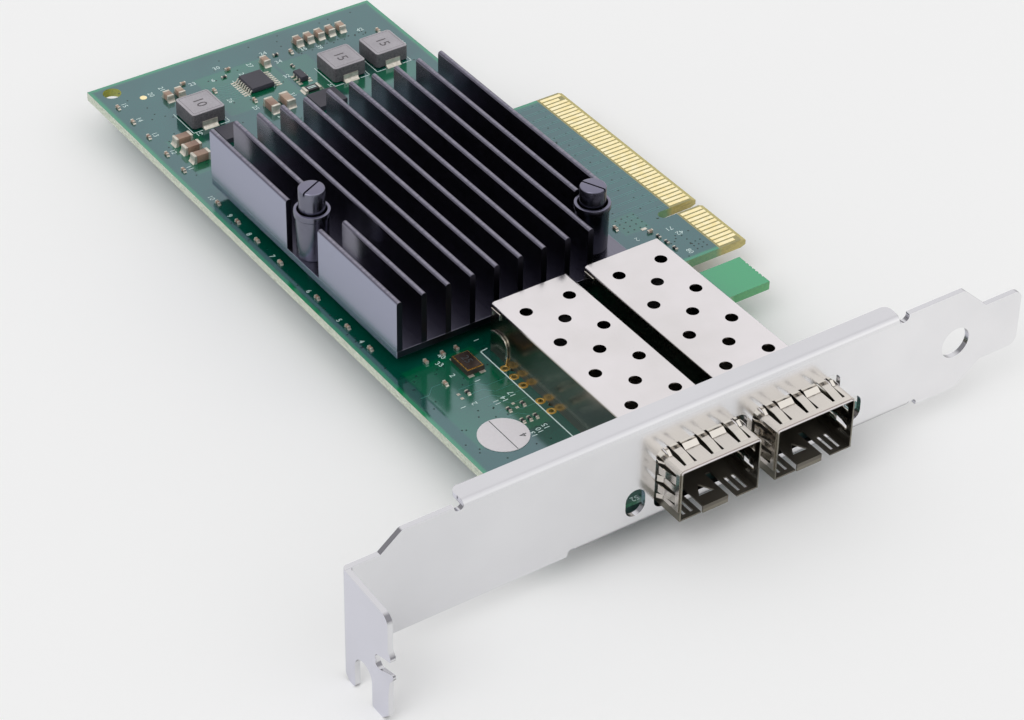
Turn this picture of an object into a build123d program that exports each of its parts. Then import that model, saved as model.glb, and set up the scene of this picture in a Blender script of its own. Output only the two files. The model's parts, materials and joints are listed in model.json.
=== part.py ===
"""Network interface card with two pluggable-transceiver ports, a finned heat sink and a full-height bracket.

Working frame, in millimetres: X runs along the bracket from the outer face of its screw tab to the end of its
tongue, Y runs from the bracket's outer face into the card, and Z runs up from the bracket's lower edge, with
the component side of the board facing up. Every piece is built in this frame. At the end all of them are
moved together, so that the origin lies at the centre of the card's lowest level.
"""

from build123d import *
from math import cos, pi, sin
import os

# Bracket sheet and outline
SHEET = 0.86
BRACKET_LENGTH = 121.4
BRACKET_WIDTH = 18.42
BEND_INSIDE = 0.5
TONGUE_WIDTH = 10.19
TONGUE_LOW = 3.68
TONGUE_CORNER = 1.6
NARROW_WIDTH = 15.28
SHOULDER_WIDTH = 18.1
STEP_START = 5.7
STEP_END = 9.2
RELIEF_RADIUS = 0.85
RELIEF_DEPTH = 1.2
RELIEF_OVERLAP = 0.15
UPPER_FLANGE_START = 19.2
UPPER_FLANGE_END = 97.0
UPPER_FLANGE_DEPTH = 3.66
LOWER_FLANGE_START = 38.6
LOWER_FLANGE_END = 100.3
TAPER_SHARE = 0.4265
TONGUE_SHARE = 0.654
TONGUE_HOLE_SHARE = 0.3934
LOWER_FLANGE_DEPTH = 2.9
FLANGE_CORNER = 1.2
END_CORNER_SHARE = 0.9
TONGUE_HOLE_Z = 8.93
TONGUE_HOLE_RADIUS = 2.65

# Screw tab, bent outwards at the bracket's end
TAB_LENGTH = 11.43
TAB_DROP = 4.6
TAB_TOP_FALL = 0.7
TAB_CORNER = 1.6
SCREW_SLOT_WIDTH = 4.42
SCREW_SLOT_CENTRE = 4.4
SCREW_SLOT_TOP = 1.75
SIDE_NOTCH_TOP = 7.1
SIDE_NOTCH_BOTTOM = 4.5
SIDE_NOTCH_INSET = 3.9
SIDE_NOTCH_SLANT = 1.1
SIDE_NOTCH_CORNER = 0.9
LIP_REACH = 0.65
LIP_FLAT = 0.7
LIP_RAMP = 1.7
LIP_CORNER = 0.35
PRONG_CHAMFER = 1.5
PRONG_CORNER = 0.5
COIN_START = (-8.0, 3.3)
COIN_END = (-10.9, 0.4)
COIN_WIDTH = 3.6
COIN_DEPTH = 0.49
COIN_OVERRUN = 0.6

# Board
BOARD_THICKNESS = 1.57
BOARD_HEIGHT = 68.90
BOARD_NEAR = 1.9
BOARD_FAR = 142.5
CARD_EDGE_X = 104.65
CARD_EDGE_RISE = 12.15
HOOK_X = 100.55
HOOK_NEAR = 34.75
HOOK_FAR = 42.7
BREAK_OFF_PITCH = 0.85
BREAK_OFF_COUNT = 6
BREAK_OFF_RADIUS = 0.22
MOUNT_HOLE_INSET = 3.45
MOUNT_HOLE_FAR = 2.6
MOUNT_HOLE_RADIUS = 1.6

# Card-edge contacts
CONTACT_PITCH = 1.0
CONTACT_WIDTH = 0.7
CONTACT_THICKNESS = 0.05
CONTACT_MARGIN = 0.825
FIRST_CONTACTS = 11
SECOND_CONTACTS = 38
KEY_NEAR = 46.33
KEY_NOTCH = 1.9
KEY_NOTCH_DEPTH = 8.25
CONTACT_ROOT = 5.0
BEVEL_LENGTH = 0.9
BEVEL_DEPTH = 0.38
PRESENCE_SHORTENING = 0.9

# Bracket-to-board fixing
FIXING_X = (43.0, 89.2)
FIXING_Y = 6.0
FIXING_TAB_WIDTH = 7.6
SCREW_RADIUS = 1.45
SCREW_CLEARANCE = 0.15
SCREW_THREAD_CLEARANCE = 0.05
SCREW_HEAD_RADIUS = 2.75
SCREW_HEAD_HEIGHT = 1.7
SCREW_TIP = 0.7
DRIVE_WIDTH = 0.6
DRIVE_SPAN = 2.8
DRIVE_DEPTH = 1.0

# Transceiver cages
CAGE_FIRST_CENTRE = 60.45
CAGE_PITCH = 17.35
CAGE_WIDTH = 14.3
CAGE_HEIGHT = 9.03
CAGE_LENGTH = 48.8
CAGE_PROTRUSION = 4.83
CAGE_WALL = 0.25
CAGE_BEND = 0.6
CAGE_FIT = 0.04
VENT_RADIUS = 1.02
CUT_REACH = 1.0
VENT_SPREAD = 4.0
VENT_SPACING = 9.07
VENT_FIRST = 11.9
VENT_ROWS = 4
CAGE_PIN_WIDTH = 0.8
CAGE_PIN_BELOW = 0.9
CAGE_PIN_HOLE_RADIUS = 0.52
CAGE_PIN_FIRST = 7.4
CAGE_PIN_PITCH = 10.2
CAGE_PIN_COUNT = 4
CUTOUT_MARGIN = 1.05
CUTOUT_TOP_GAP = 1.4
CUTOUT_CORNER = 1.5
CUTOUT_SILL = 1.9

# Spring fingers round the mouth of each cage
SPRING_SHEET = 0.15
SPRING_FRONT = 0.25
SPRING_LENGTH = 9.6
SPRING_BOW = 0.55
SPRING_ROOT = 0.8
FINGER_WIDTH = 1.4
FINGER_SLOT = 0.45
TOP_FINGER_PITCH = 4.87
SIDE_FINGER_HEIGHTS = (7.0, 3.6)
RIDGE_START = 3.9
RIDGE_RAMP = 0.85
RIDGE_FLAT = 1.1

# Cage floor with the latch tongue
LATCH_WIDTH = 4.6
LATCH_SLOT = 0.95
LATCH_SLOT_LENGTH = 6.5
LATCH_SHORTENING = 0.75
LATCH_LIP = 1.05
LATCH_HOLE_WIDTH = 2.8
LATCH_HOLE_LENGTH = 2.3
LATCH_HOLE_START = 2.9
PANEL_SLOT_OFFSETS = (4.3, 5.6)
PANEL_SLOT_WIDTH = 0.6
PANEL_SLOT_LENGTH = 3.5
PANEL_SLOT_START = 0.8

# Host connector at the back of each cage
CONNECTOR_WIDTH = 12.6
CONNECTOR_HEIGHT = 5.6
CONNECTOR_LENGTH = 9.7
CONNECTOR_BACK_GAP = 0.55
CARD_SLOT_WIDTH = 9.6
CARD_SLOT_HEIGHT = 1.45
CARD_SLOT_DEPTH = 6.0
CARD_SLOT_SILL = 3.1
TERMINAL_COUNT = 10
TERMINAL_PITCH = 0.8
TERMINAL_WIDTH = 0.3
TERMINAL_THICKNESS = 0.2
TERMINAL_FIT = 0.03

# Light-pipe windows in the bracket
LAMP_WINDOW_WIDTH = 3.5
LAMP_WINDOW_HEIGHT = 4.8
LAMP_WINDOW_Z = 4.65
LAMP_WINDOW_PLACES = (48.9, 88.8)
LAMP_WINDOW_CORNER = 1.7

# Controller chip and its heat sink
CHIP_X = 60.45
CHIP_Y = 65.6
CHIP_SIZE = 17.0
CHIP_CAP_SIZE = 15.6
JOINT_HEIGHT = 0.35
JOINT_WIDTH = 0.6
JOINT_PITCH = 3.6
JOINT_ROWS = 5
SUBSTRATE_THICKNESS = 0.45
CAP_THICKNESS = 1.1
PAD_THICKNESS = 0.12
SINK_X = 38.57
SINK_Y = 47.6
SINK_WIDTH = 45.2
SINK_LENGTH = 56.5
SINK_BASE = 1.3
FIN_HEIGHT = 9.2
FIN_THICKNESS = 1.0
FIN_COUNT = 11
FIN_CUTS = {0: (70.45, 80.05), 1: (70.4, 83.0), 9: (SINK_Y, 57.75), 10: (SINK_Y, 57.75)}

# Spring-loaded push pins that hold the heat sink
PIN_SIDE_INSET = {"left": 2.83, "right": 4.27}
PIN_NEAR_INSET = {"left": 29.2, "right": 6.8}
PIN_STAND = {"left": 4.0, "right": 3.1}
PIN_SLOT_TURN = {"left": 25.0, "right": 115.0}
SLEEVE_HEIGHT = 8.6
SLEEVE_TOP_RADIUS = 3.03
SLEEVE_FOOT_RADIUS = 2.7
SLEEVE_BORE = 2.42
SLEEVE_FLOOR = 0.8
PLUNGER_RADIUS = 2.18
PLUNGER_LENGTH = 5.6
PLUNGER_SLOT_WIDTH = 0.35
PLUNGER_SLOT_DEPTH = 0.6
SHAFT_RADIUS = 1.15
SHAFT_CLEARANCE = 0.15
BARB_RADIUS = 1.65
BARB_LENGTH = 1.9
BARB_GAP = 0.1
BARB_SPLIT = 0.5
SPRING_WIRE = 0.5
SPRING_COIL_RADIUS = 1.8
SPRING_TURNS = 3
SPRING_SEAT_GAP = 0.05

# Moulded inductors
INDUCTOR_PLACES = {"input": (48.35, 125.2), "first_output": (76.1, 124.8), "second_output": (84.75, 124.85)}
INDUCTOR_WIDTH = 6.4
INDUCTOR_DEPTH = 6.7
INDUCTOR_HEIGHT = 3.0
INDUCTOR_CORNER = 0.55
INDUCTOR_TOP_CORNER = 0.22
TERMINAL_PLATE = 0.18
TERMINAL_PLATE_WIDTH = 2.9
TERMINAL_PLATE_RISE = 1.3
TERMINAL_PLATE_FOOT = 1.6

# Regulator chips
REGULATOR_X = 61.6
REGULATOR_Y = 129.1
REGULATOR_WIDTH = 4.4
REGULATOR_LENGTH = 5.0
REGULATOR_THICKNESS = 0.9
REGULATOR_STAND = 0.12
MOULD_DRAFT_SHARE = 0.12
LEAD_SPAN = 6.4
LEAD_PITCH = 0.65
LEAD_WIDTH = 0.28
LEAD_THICKNESS = 0.14
LEAD_FOOT = 0.55
LEADS_PER_SIDE = 8
SWITCH_X = 69.0
SWITCH_Y = 126.6
SWITCH_WIDTH = 1.5
SWITCH_LENGTH = 2.9
SWITCH_SPAN = 2.8
SWITCH_LEAD_PITCH = 0.95
SWITCH_LEAD_WIDTH = 0.4
SWITCH_LEADS_PER_SIDE = 3
POWER_STAGES = {"input": (49.9, 117.7, 4.0, 4.2), "output": (69.05, 117.9, 5.4, 4.6)}
POWER_STAGE_HEIGHT = 0.9

# Crystal
CRYSTAL_X = 48.2
CRYSTAL_Y = 42.65
CRYSTAL_WIDTH = 3.1
CRYSTAL_LENGTH = 4.6
CRYSTAL_HEIGHT = 0.85
CRYSTAL_LID_INSET = 0.28
CRYSTAL_LID_THICKNESS = 0.15

# Chip capacitors and resistors: length, width, height and end-cap length of each size
LARGE_CHIP = (3.2, 1.6, 1.5, 0.5)
MEDIUM_CHIP = (2.0, 1.25, 1.25, 0.4)
SMALL_CHIP = (1.0, 0.5, 0.5, 0.22)
FLAT_CHIP = (3.2, 1.6, 0.55, 0.5)
TINY_FLAT_CHIP = (1.0, 0.5, 0.35, 0.22)
BULK_ROW_X = 41.95
BULK_ROW_Y = 113.9
BULK_ROW_PITCH = 3.05
BULK_ROW_COUNT = 3
BULK_PAIR = ((59.9, 120.9), (62.9, 120.9))
OUTPUT_ROW_X = 74.35
OUTPUT_ROW_Y = 136.5
OUTPUT_ROW_PITCH = 2.2
OUTPUT_ROW_COUNT = 5
MEDIUM_PLACES = ((46.5, 133.1), (48.75, 133.1), (66.1, 133.8))
EDGE_ROW_X = 37.85
EDGE_ROW_Y = (135.2, 129.9, 124.4, 118.2, 112.5, 101.1, 94.7, 88.5, 81.2, 69.9, 60.8, 54.2)
SMALL_PLACES = ((42.75, 40.55), (54.3, 130.9), (71.9, 134.7), (58.6, 124.6), (88.5, 132.5), (88.3, 59.8))
TINY_PLACES = ((44.4, 36.9), (47.3, 30.05), (49.9, 30.1), (49.85, 26.6), (48.7, 26.6), (47.55, 26.7))
SENSE_X = 68.7
SENSE_Y = 122.4

# Plated holes beside the first cage, and the round paper label
PLATED_HOLE_INSET = 0.75
PLATED_HOLE_Y = (38.9, 36.4, 33.9, 29.3, 26.4)
PLATED_RADIUS = 0.7
PLATED_BORE_RADIUS = 0.4
PLATED_RISE = 0.04
LABEL_X = 43.25
LABEL_Y = 25.5
LABEL_RADIUS = 4.0
LABEL_THICKNESS = 0.1

# Facets round the small parts that are not bearing surfaces
CUP_SIDES = 20
SHAFT_SIDES = 12
SCREW_SIDES = 16
VENT_SIDES = 10
SMALL_HOLE_SIDES = 6
LABEL_SIDES = 36
FIN_CROWN_FACETS = 4
BEND_FACETS = 3
WINDOW_FACETS = 5
BOW_STATIONS = (-1.0, -0.5, 0.0, 0.5, 1.0)
COIL_FACETS = 8

# Levels and places that follow from the sizes above
BEND_OUTSIDE = BEND_INSIDE + SHEET
BOARD_LOW = SHEET
BOARD_TOP = BOARD_LOW + BOARD_THICKNESS
BOARD_UPPER_X = CARD_EDGE_X - BOARD_HEIGHT
BOARD_LOWER_X = CARD_EDGE_X - CARD_EDGE_RISE
TONGUE_HIGH = TONGUE_LOW + TONGUE_WIDTH
END_RUN = BRACKET_LENGTH - LOWER_FLANGE_END
TAPER_START = LOWER_FLANGE_END + TAPER_SHARE * END_RUN
TONGUE_START = LOWER_FLANGE_END + TONGUE_SHARE * END_RUN
TONGUE_HOLE_X = LOWER_FLANGE_END + TONGUE_HOLE_SHARE * END_RUN
FIRST_SEGMENT = (FIRST_CONTACTS - 1) * CONTACT_PITCH + 2 * CONTACT_MARGIN
SECOND_SEGMENT = (SECOND_CONTACTS - 1) * CONTACT_PITCH + 2 * CONTACT_MARGIN
NOTCH_NEAR = KEY_NEAR + FIRST_SEGMENT
NOTCH_FAR = NOTCH_NEAR + KEY_NOTCH
KEY_FAR = NOTCH_FAR + SECOND_SEGMENT
CAGE_CENTRES = {"left": CAGE_FIRST_CENTRE, "right": CAGE_FIRST_CENTRE + CAGE_PITCH}
CAGE_BACK = CAGE_LENGTH - CAGE_PROTRUSION
SINK_LOW = BOARD_TOP + JOINT_HEIGHT + SUBSTRATE_THICKNESS + CAP_THICKNESS + PAD_THICKNESS
SINK_FLOOR = SINK_LOW + SINK_BASE
FIN_PITCH = (SINK_WIDTH - FIN_THICKNESS) / (FIN_COUNT - 1)
SINK_HOLE_RADIUS = SHAFT_RADIUS + SHAFT_CLEARANCE
PIN_PLACES = {
    "left": (SINK_X + PIN_SIDE_INSET["left"], SINK_Y + PIN_NEAR_INSET["left"]),
    "right": (SINK_X + SINK_WIDTH - PIN_SIDE_INSET["right"], SINK_Y + PIN_NEAR_INSET["right"]),
}
CENTRED = (Align.CENTER, Align.CENTER, Align.MIN)
CORNERED = (Align.MIN, Align.MIN, Align.MIN)
ORIGIN = Vector(BRACKET_LENGTH / 2, (BOARD_FAR - TAB_LENGTH) / 2, -TAB_DROP)


def block(x0, x1, y0, y1, z0, z1):
    """A box between two corners."""
    return Pos(x0, y0, z0) * Box(x1 - x0, y1 - y0, z1 - z0, align=CORNERED)


def slab(x, y, z, width, depth, height):
    """A box centred over a point, standing on a level."""
    return Pos(x, y, z) * Box(width, depth, height, align=CENTRED)


def rod(x, y, z0, z1, radius):
    """An upright cylinder between two levels."""
    return Pos(x, y, z0) * Cylinder(radius, z1 - z0, align=CENTRED)


def bar(x, y, z0, z1, radius, sides, top_radius=None):
    """An upright bar with flat sides between two levels, straight or tapered."""
    foot = Pos(x, y, z0) * RegularPolygon(radius, sides)
    if top_radius is None:
        return extrude(foot, amount=z1 - z0, dir=(0, 0, 1))
    return loft([foot, Pos(x, y, z1) * RegularPolygon(top_radius, sides)], ruled=True)


def prism(points, direction, amount):
    """A polygon in space, extruded along a direction."""
    return extrude(make_face(Polyline(*points, close=True)), amount=amount, dir=direction)


def upright_edges_at(solid, x, y, reach=0.02):
    """The solid's vertical edges that stand at one place in plan."""
    edges = solid.edges().filter_by(Axis.Z)
    return edges.filter_by(lambda e: abs(e.center().X - x) < reach and abs(e.center().Y - y) < reach)


def bracket_plate():
    """The flat face of the bracket, with its step, tapers, tongue, holes and relief notches."""
    upper = BRACKET_WIDTH - BEND_OUTSIDE
    outline = [
        (0, 0, 0), (LOWER_FLANGE_START, 0, 0), (LOWER_FLANGE_START, 0, BEND_OUTSIDE),
        (LOWER_FLANGE_END, 0, BEND_OUTSIDE), (LOWER_FLANGE_END, 0, 0), (TAPER_START, 0, 0),
        (TONGUE_START, 0, TONGUE_LOW), (BRACKET_LENGTH, 0, TONGUE_LOW), (BRACKET_LENGTH, 0, TONGUE_HIGH),
        (TONGUE_START, 0, TONGUE_HIGH), (TAPER_START, 0, BRACKET_WIDTH), (UPPER_FLANGE_END, 0, BRACKET_WIDTH),
        (UPPER_FLANGE_END, 0, upper), (UPPER_FLANGE_START, 0, upper), (UPPER_FLANGE_START, 0, SHOULDER_WIDTH),
        (STEP_END, 0, SHOULDER_WIDTH), (STEP_START, 0, NARROW_WIDTH), (0, 0, NARROW_WIDTH),
    ]
    plate = prism(outline, (0, 1, 0), SHEET)
    ends = plate.edges().filter_by(Axis.Y)
    tongue_corners = ends.filter_by(lambda e: e.center().X > BRACKET_LENGTH - SHEET)
    plate = fillet(tongue_corners, TONGUE_CORNER)
    soft = plate.edges().filter_by(Axis.Y).filter_by(
        lambda e: abs(e.center().X - TAPER_START) < SHEET or abs(e.center().X - STEP_END) < SHEET
    )
    return fillet(soft, SHEET)


def flange(start, end, depth):
    """A sheet strip bent inwards along the plate's lower edge, with rounded free corners."""
    inside, outside = (BEND_OUTSIDE - radius * sin(pi / 4) for radius in (BEND_INSIDE, BEND_OUTSIDE))
    profile = (
        Line((start, 0, BEND_OUTSIDE), (start, SHEET, BEND_OUTSIDE))
        + ThreePointArc((start, SHEET, BEND_OUTSIDE), (start, inside, inside), (start, BEND_OUTSIDE, SHEET))
        + Line((start, BEND_OUTSIDE, SHEET), (start, depth, SHEET))
        + Line((start, depth, SHEET), (start, depth, 0))
        + Line((start, depth, 0), (start, BEND_OUTSIDE, 0))
        + ThreePointArc((start, BEND_OUTSIDE, 0), (start, outside, outside), (start, 0, BEND_OUTSIDE))
    )
    strip = extrude(make_face(profile), amount=end - start, dir=(1, 0, 0))
    corners = upright_edges_at(strip, start, depth) + upright_edges_at(strip, end, depth)
    return fillet(corners, FLANGE_CORNER)


def screw_tab():
    """The tab bent outwards at the bracket's end, with its open screw slot and its side notch."""
    out, low = -TAB_LENGTH, -TAB_DROP
    side, inner = out + LIP_REACH, out + SIDE_NOTCH_INSET
    outline = [
        (0, SHEET, low + PRONG_CHAMFER), (0, SHEET, NARROW_WIDTH), (0, side, NARROW_WIDTH - TAB_TOP_FALL),
        (0, side, SIDE_NOTCH_TOP + LIP_RAMP), (0, out, SIDE_NOTCH_TOP + LIP_FLAT), (0, out, SIDE_NOTCH_TOP),
        (0, inner, SIDE_NOTCH_TOP - SIDE_NOTCH_SLANT), (0, inner, SIDE_NOTCH_BOTTOM - SIDE_NOTCH_SLANT),
        (0, out, SIDE_NOTCH_BOTTOM), (0, out, SIDE_NOTCH_BOTTOM - LIP_FLAT),
        (0, side, SIDE_NOTCH_BOTTOM - LIP_RAMP), (0, side, low + PRONG_CHAMFER),
        (0, side + PRONG_CHAMFER, low), (0, SHEET - PRONG_CHAMFER, low),
    ]
    tab = prism(outline, (1, 0, 0), SHEET)
    across = tab.edges().filter_by(Axis.X)
    tab = fillet(across.filter_by(lambda e: near_place(e, side, NARROW_WIDTH - TAB_TOP_FALL)), TAB_CORNER)
    notch_ends = [SIDE_NOTCH_TOP - SIDE_NOTCH_SLANT, SIDE_NOTCH_BOTTOM - SIDE_NOTCH_SLANT]
    across = tab.edges().filter_by(Axis.X)
    tab = fillet(across.filter_by(lambda e: any(near_place(e, inner, z) for z in notch_ends)),
                 SIDE_NOTCH_CORNER)
    across = tab.edges().filter_by(Axis.X)
    lips = (SIDE_NOTCH_TOP, SIDE_NOTCH_BOTTOM)
    tab = fillet(across.filter_by(lambda e: any(near_place(e, out, z) for z in lips)), LIP_CORNER)
    half = SCREW_SLOT_WIDTH / 2
    slot = block(-SHEET, 2 * SHEET, -SCREW_SLOT_CENTRE - half, -SCREW_SLOT_CENTRE + half,
                 low - SHEET, SCREW_SLOT_TOP - half)
    round_end = Pos(SHEET / 2, -SCREW_SLOT_CENTRE, SCREW_SLOT_TOP - half) * Rot(0, 90, 0) * Cylinder(
        half, 3 * SHEET)
    tab -= slot + round_end
    tab = fillet(tab.edges().filter_by(Axis.X).filter_by(lambda e: e.center().Z < low + SHEET / 2),
                 PRONG_CORNER)
    return tab - coined_corner()


def near_place(edge, y, z):
    """Whether an edge's centre lies at a place across the screw tab."""
    return abs(edge.center().Y - y) < SHEET / 8 and abs(edge.center().Z - z) < SHEET / 8


def coined_corner():
    """A shallow wedge cutter that presses in the corner of the lower prong beside the notch."""
    run = Vector(0, COIN_END[0] - COIN_START[0], COIN_END[1] - COIN_START[1]).normalized()
    over = Vector(0, run.Z, -run.Y)
    start = Vector(0, *COIN_START) - run * COIN_OVERRUN
    edge = start + over * COIN_WIDTH
    length = (Vector(0, *COIN_END) - Vector(0, *COIN_START)).length + 2 * COIN_OVERRUN
    wedge = [tuple(start), tuple(edge - Vector(SHEET, 0, 0)), tuple(edge + Vector(COIN_DEPTH, 0, 0))]
    return prism(wedge, tuple(run), length)


def bore_through_plate(x, z, radius):
    """A round cutter through the bracket's face."""
    return Pos(x, SHEET / 2, z) * Rot(90, 0, 0) * Cylinder(radius, 3 * SHEET)


def relief_through_plate(x, z):
    """A relief notch's cutter through the bracket's face."""
    return Pos(x, 2 * SHEET, z) * Rot(90, 0, 0) * bar(0, 0, 0, 3 * SHEET, RELIEF_RADIUS, SHAFT_SIDES)


def window_cutter(x, z, width, height, corner):
    """A window cutter through the bracket's face, centred on x and z, with its corners rounded in facets."""
    outline = []
    for quarter, (right, up) in enumerate(((1, 1), (-1, 1), (-1, -1), (1, -1))):
        turns = [(quarter + k / WINDOW_FACETS) * pi / 2 for k in range(WINDOW_FACETS + 1)]
        middle_x, middle_z = x + right * (width / 2 - corner), z + up * (height / 2 - corner)
        outline += [(middle_x + corner * cos(a), -SHEET, middle_z + corner * sin(a)) for a in turns]
    return prism(outline, (0, 1, 0), 3 * SHEET)


def bracket():
    """The whole bracket, one folded sheet."""
    body = bracket_plate() + screw_tab()
    body += flange(LOWER_FLANGE_START, LOWER_FLANGE_END, LOWER_FLANGE_DEPTH)
    body += Pos(0, 0, BRACKET_WIDTH) * mirror(
        flange(UPPER_FLANGE_START, UPPER_FLANGE_END, UPPER_FLANGE_DEPTH), Plane.XY)
    tab_reach = FIXING_Y + FIXING_TAB_WIDTH / 2
    for x in FIXING_X:
        tab = block(x - FIXING_TAB_WIDTH / 2, x + FIXING_TAB_WIDTH / 2, BEND_OUTSIDE, tab_reach, 0, SHEET)
        corners = upright_edges_at(tab, x - FIXING_TAB_WIDTH / 2, tab_reach)
        corners += upright_edges_at(tab, x + FIXING_TAB_WIDTH / 2, tab_reach)
        body += chamfer(corners, FLANGE_CORNER)
    for x in FIXING_X:
        body -= bar(x, FIXING_Y, -SHEET, 2 * SHEET, SCREW_RADIUS + SCREW_THREAD_CLEARANCE, SCREW_SIDES)
    body = fillet(upright_edges_at(body, SHEET, 0), BEND_INSIDE)
    body = fillet(upright_edges_at(body, 0, SHEET), SHEET * END_CORNER_SHARE)
    notch = RELIEF_DEPTH - RELIEF_RADIUS
    apart = RELIEF_RADIUS - RELIEF_OVERLAP
    for x in (UPPER_FLANGE_START - apart, UPPER_FLANGE_END + apart):
        body -= relief_through_plate(x, BRACKET_WIDTH - notch)
    for x in (LOWER_FLANGE_START - apart, LOWER_FLANGE_END + apart):
        body -= relief_through_plate(x, notch)
    body -= bore_through_plate(TONGUE_HOLE_X, TONGUE_HOLE_Z, TONGUE_HOLE_RADIUS)
    top = BOARD_TOP + CAGE_HEIGHT + CUTOUT_TOP_GAP
    for x in CAGE_CENTRES.values():
        body -= window_cutter(x, (top + CUTOUT_SILL) / 2, CAGE_WIDTH + 2 * CUTOUT_MARGIN,
                              top - CUTOUT_SILL, CUTOUT_CORNER)
    for x in LAMP_WINDOW_PLACES:
        body -= window_cutter(x, LAMP_WINDOW_Z, LAMP_WINDOW_WIDTH, LAMP_WINDOW_HEIGHT, LAMP_WINDOW_CORNER)
    return body


def card_edge_chamfers():
    """Wedges that bevel both faces of the board along the card edge."""
    x0, x1 = CARD_EDGE_X - BEVEL_LENGTH, CARD_EDGE_X
    span = KEY_FAR - KEY_NEAR + 2 * KEY_NOTCH
    near = KEY_NEAR - KEY_NOTCH
    upper = prism([(x0, near, BOARD_TOP), (x1 + SHEET, near, BOARD_TOP),
                   (x1 + SHEET, near, BOARD_TOP - BEVEL_DEPTH), (x1, near, BOARD_TOP - BEVEL_DEPTH)],
                  (0, 1, 0), span)
    lower = prism([(x0, near, BOARD_LOW), (x1 + SHEET, near, BOARD_LOW),
                   (x1 + SHEET, near, BOARD_LOW + BEVEL_DEPTH), (x1, near, BOARD_LOW + BEVEL_DEPTH)],
                  (0, 1, 0), span)
    return upper + lower


def cage_pin_places():
    """Where the cages' press-in pins pass through the board: x, y pairs."""
    reach = (CAGE_WIDTH - CAGE_WALL) / 2
    return [
        (centre + side * reach, CAGE_PIN_FIRST + i * CAGE_PIN_PITCH)
        for centre in CAGE_CENTRES.values()
        for side in (-1, 1)
        for i in range(CAGE_PIN_COUNT)
    ]


def plated_hole_places():
    """Where the plated holes beside the first cage lie: x, y pairs."""
    x = CAGE_CENTRES["left"] - CAGE_WIDTH / 2 - PLATED_HOLE_INSET
    return [(x, y) for y in PLATED_HOLE_Y]


def board():
    """The printed board, with its card edge, key notch, hook and holes."""
    outline = [
        (BOARD_UPPER_X, BOARD_NEAR), (BOARD_LOWER_X, BOARD_NEAR), (BOARD_LOWER_X, HOOK_NEAR),
        (HOOK_X, HOOK_NEAR), (HOOK_X, HOOK_FAR), (BOARD_LOWER_X, HOOK_FAR), (BOARD_LOWER_X, KEY_NEAR),
        (CARD_EDGE_X, KEY_NEAR), (CARD_EDGE_X, KEY_FAR), (BOARD_LOWER_X, KEY_FAR),
        (BOARD_LOWER_X, BOARD_FAR), (BOARD_UPPER_X, BOARD_FAR),
    ]
    body = prism([(x, y, BOARD_LOW) for x, y in outline], (0, 0, 1), BOARD_THICKNESS)
    notch_x = CARD_EDGE_X - KEY_NOTCH_DEPTH + KEY_NOTCH / 2
    body -= block(notch_x, CARD_EDGE_X + SHEET, NOTCH_NEAR, NOTCH_FAR, 0, BOARD_TOP + SHEET)
    body -= rod(notch_x, (NOTCH_NEAR + NOTCH_FAR) / 2, 0, BOARD_TOP + SHEET, KEY_NOTCH / 2)
    body -= card_edge_chamfers()
    first_bite = (HOOK_NEAR + HOOK_FAR - (BREAK_OFF_COUNT - 1) * BREAK_OFF_PITCH) / 2
    for i in range(BREAK_OFF_COUNT):
        body -= bar(HOOK_X, first_bite + i * BREAK_OFF_PITCH, 0, BOARD_TOP + SHEET, BREAK_OFF_RADIUS,
                    SMALL_HOLE_SIDES)
    body -= rod(BOARD_UPPER_X + MOUNT_HOLE_INSET, BOARD_FAR - MOUNT_HOLE_FAR, 0, BOARD_TOP + SHEET,
                MOUNT_HOLE_RADIUS)
    for x, y in PIN_PLACES.values():
        body -= bar(x, y, 0, BOARD_TOP + SHEET, SINK_HOLE_RADIUS, SHAFT_SIDES)
    for x in FIXING_X:
        body -= bar(x, FIXING_Y, 0, BOARD_TOP + SHEET, SCREW_RADIUS + SCREW_CLEARANCE, SCREW_SIDES)
    for x, y in cage_pin_places():
        body -= bar(x, y, 0, BOARD_TOP + SHEET, CAGE_PIN_HOLE_RADIUS, SMALL_HOLE_SIDES)
    for x, y in plated_hole_places():
        body -= bar(x, y, 0, BOARD_TOP + SHEET, PLATED_RADIUS, SHAFT_SIDES)
    return body


def edge_contacts():
    """The gold contacts on both faces of the card edge, the two presence pins a little shorter."""
    root = CARD_EDGE_X - CONTACT_ROOT
    tip = CARD_EDGE_X - BEVEL_LENGTH
    starts = [KEY_NEAR + CONTACT_MARGIN + i * CONTACT_PITCH for i in range(FIRST_CONTACTS)]
    starts += [NOTCH_FAR + CONTACT_MARGIN + i * CONTACT_PITCH for i in range(SECOND_CONTACTS)]
    shorter = {0, FIRST_CONTACTS + SECOND_CONTACTS - 2}
    pads = []
    for i, y in enumerate(starts):
        end = tip - PRESENCE_SHORTENING if i in shorter else tip
        near, far = y - CONTACT_WIDTH / 2, y + CONTACT_WIDTH / 2
        pads.append(block(root, end, near, far, BOARD_TOP, BOARD_TOP + CONTACT_THICKNESS))
        pads.append(block(root, end, near, far, BOARD_LOW - CONTACT_THICKNESS, BOARD_LOW))
    return pads


def plated_holes():
    """Plated sleeves that stand slightly proud of both faces."""
    sleeves = []
    for x, y in plated_hole_places():
        low, high = BOARD_LOW - PLATED_RISE, BOARD_TOP + PLATED_RISE
        sleeve = bar(x, y, low, high, PLATED_RADIUS, SHAFT_SIDES)
        sleeves.append(sleeve - bar(x, y, low - SHEET, high + SHEET, PLATED_BORE_RADIUS, SHAFT_SIDES))
    return sleeves


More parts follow.
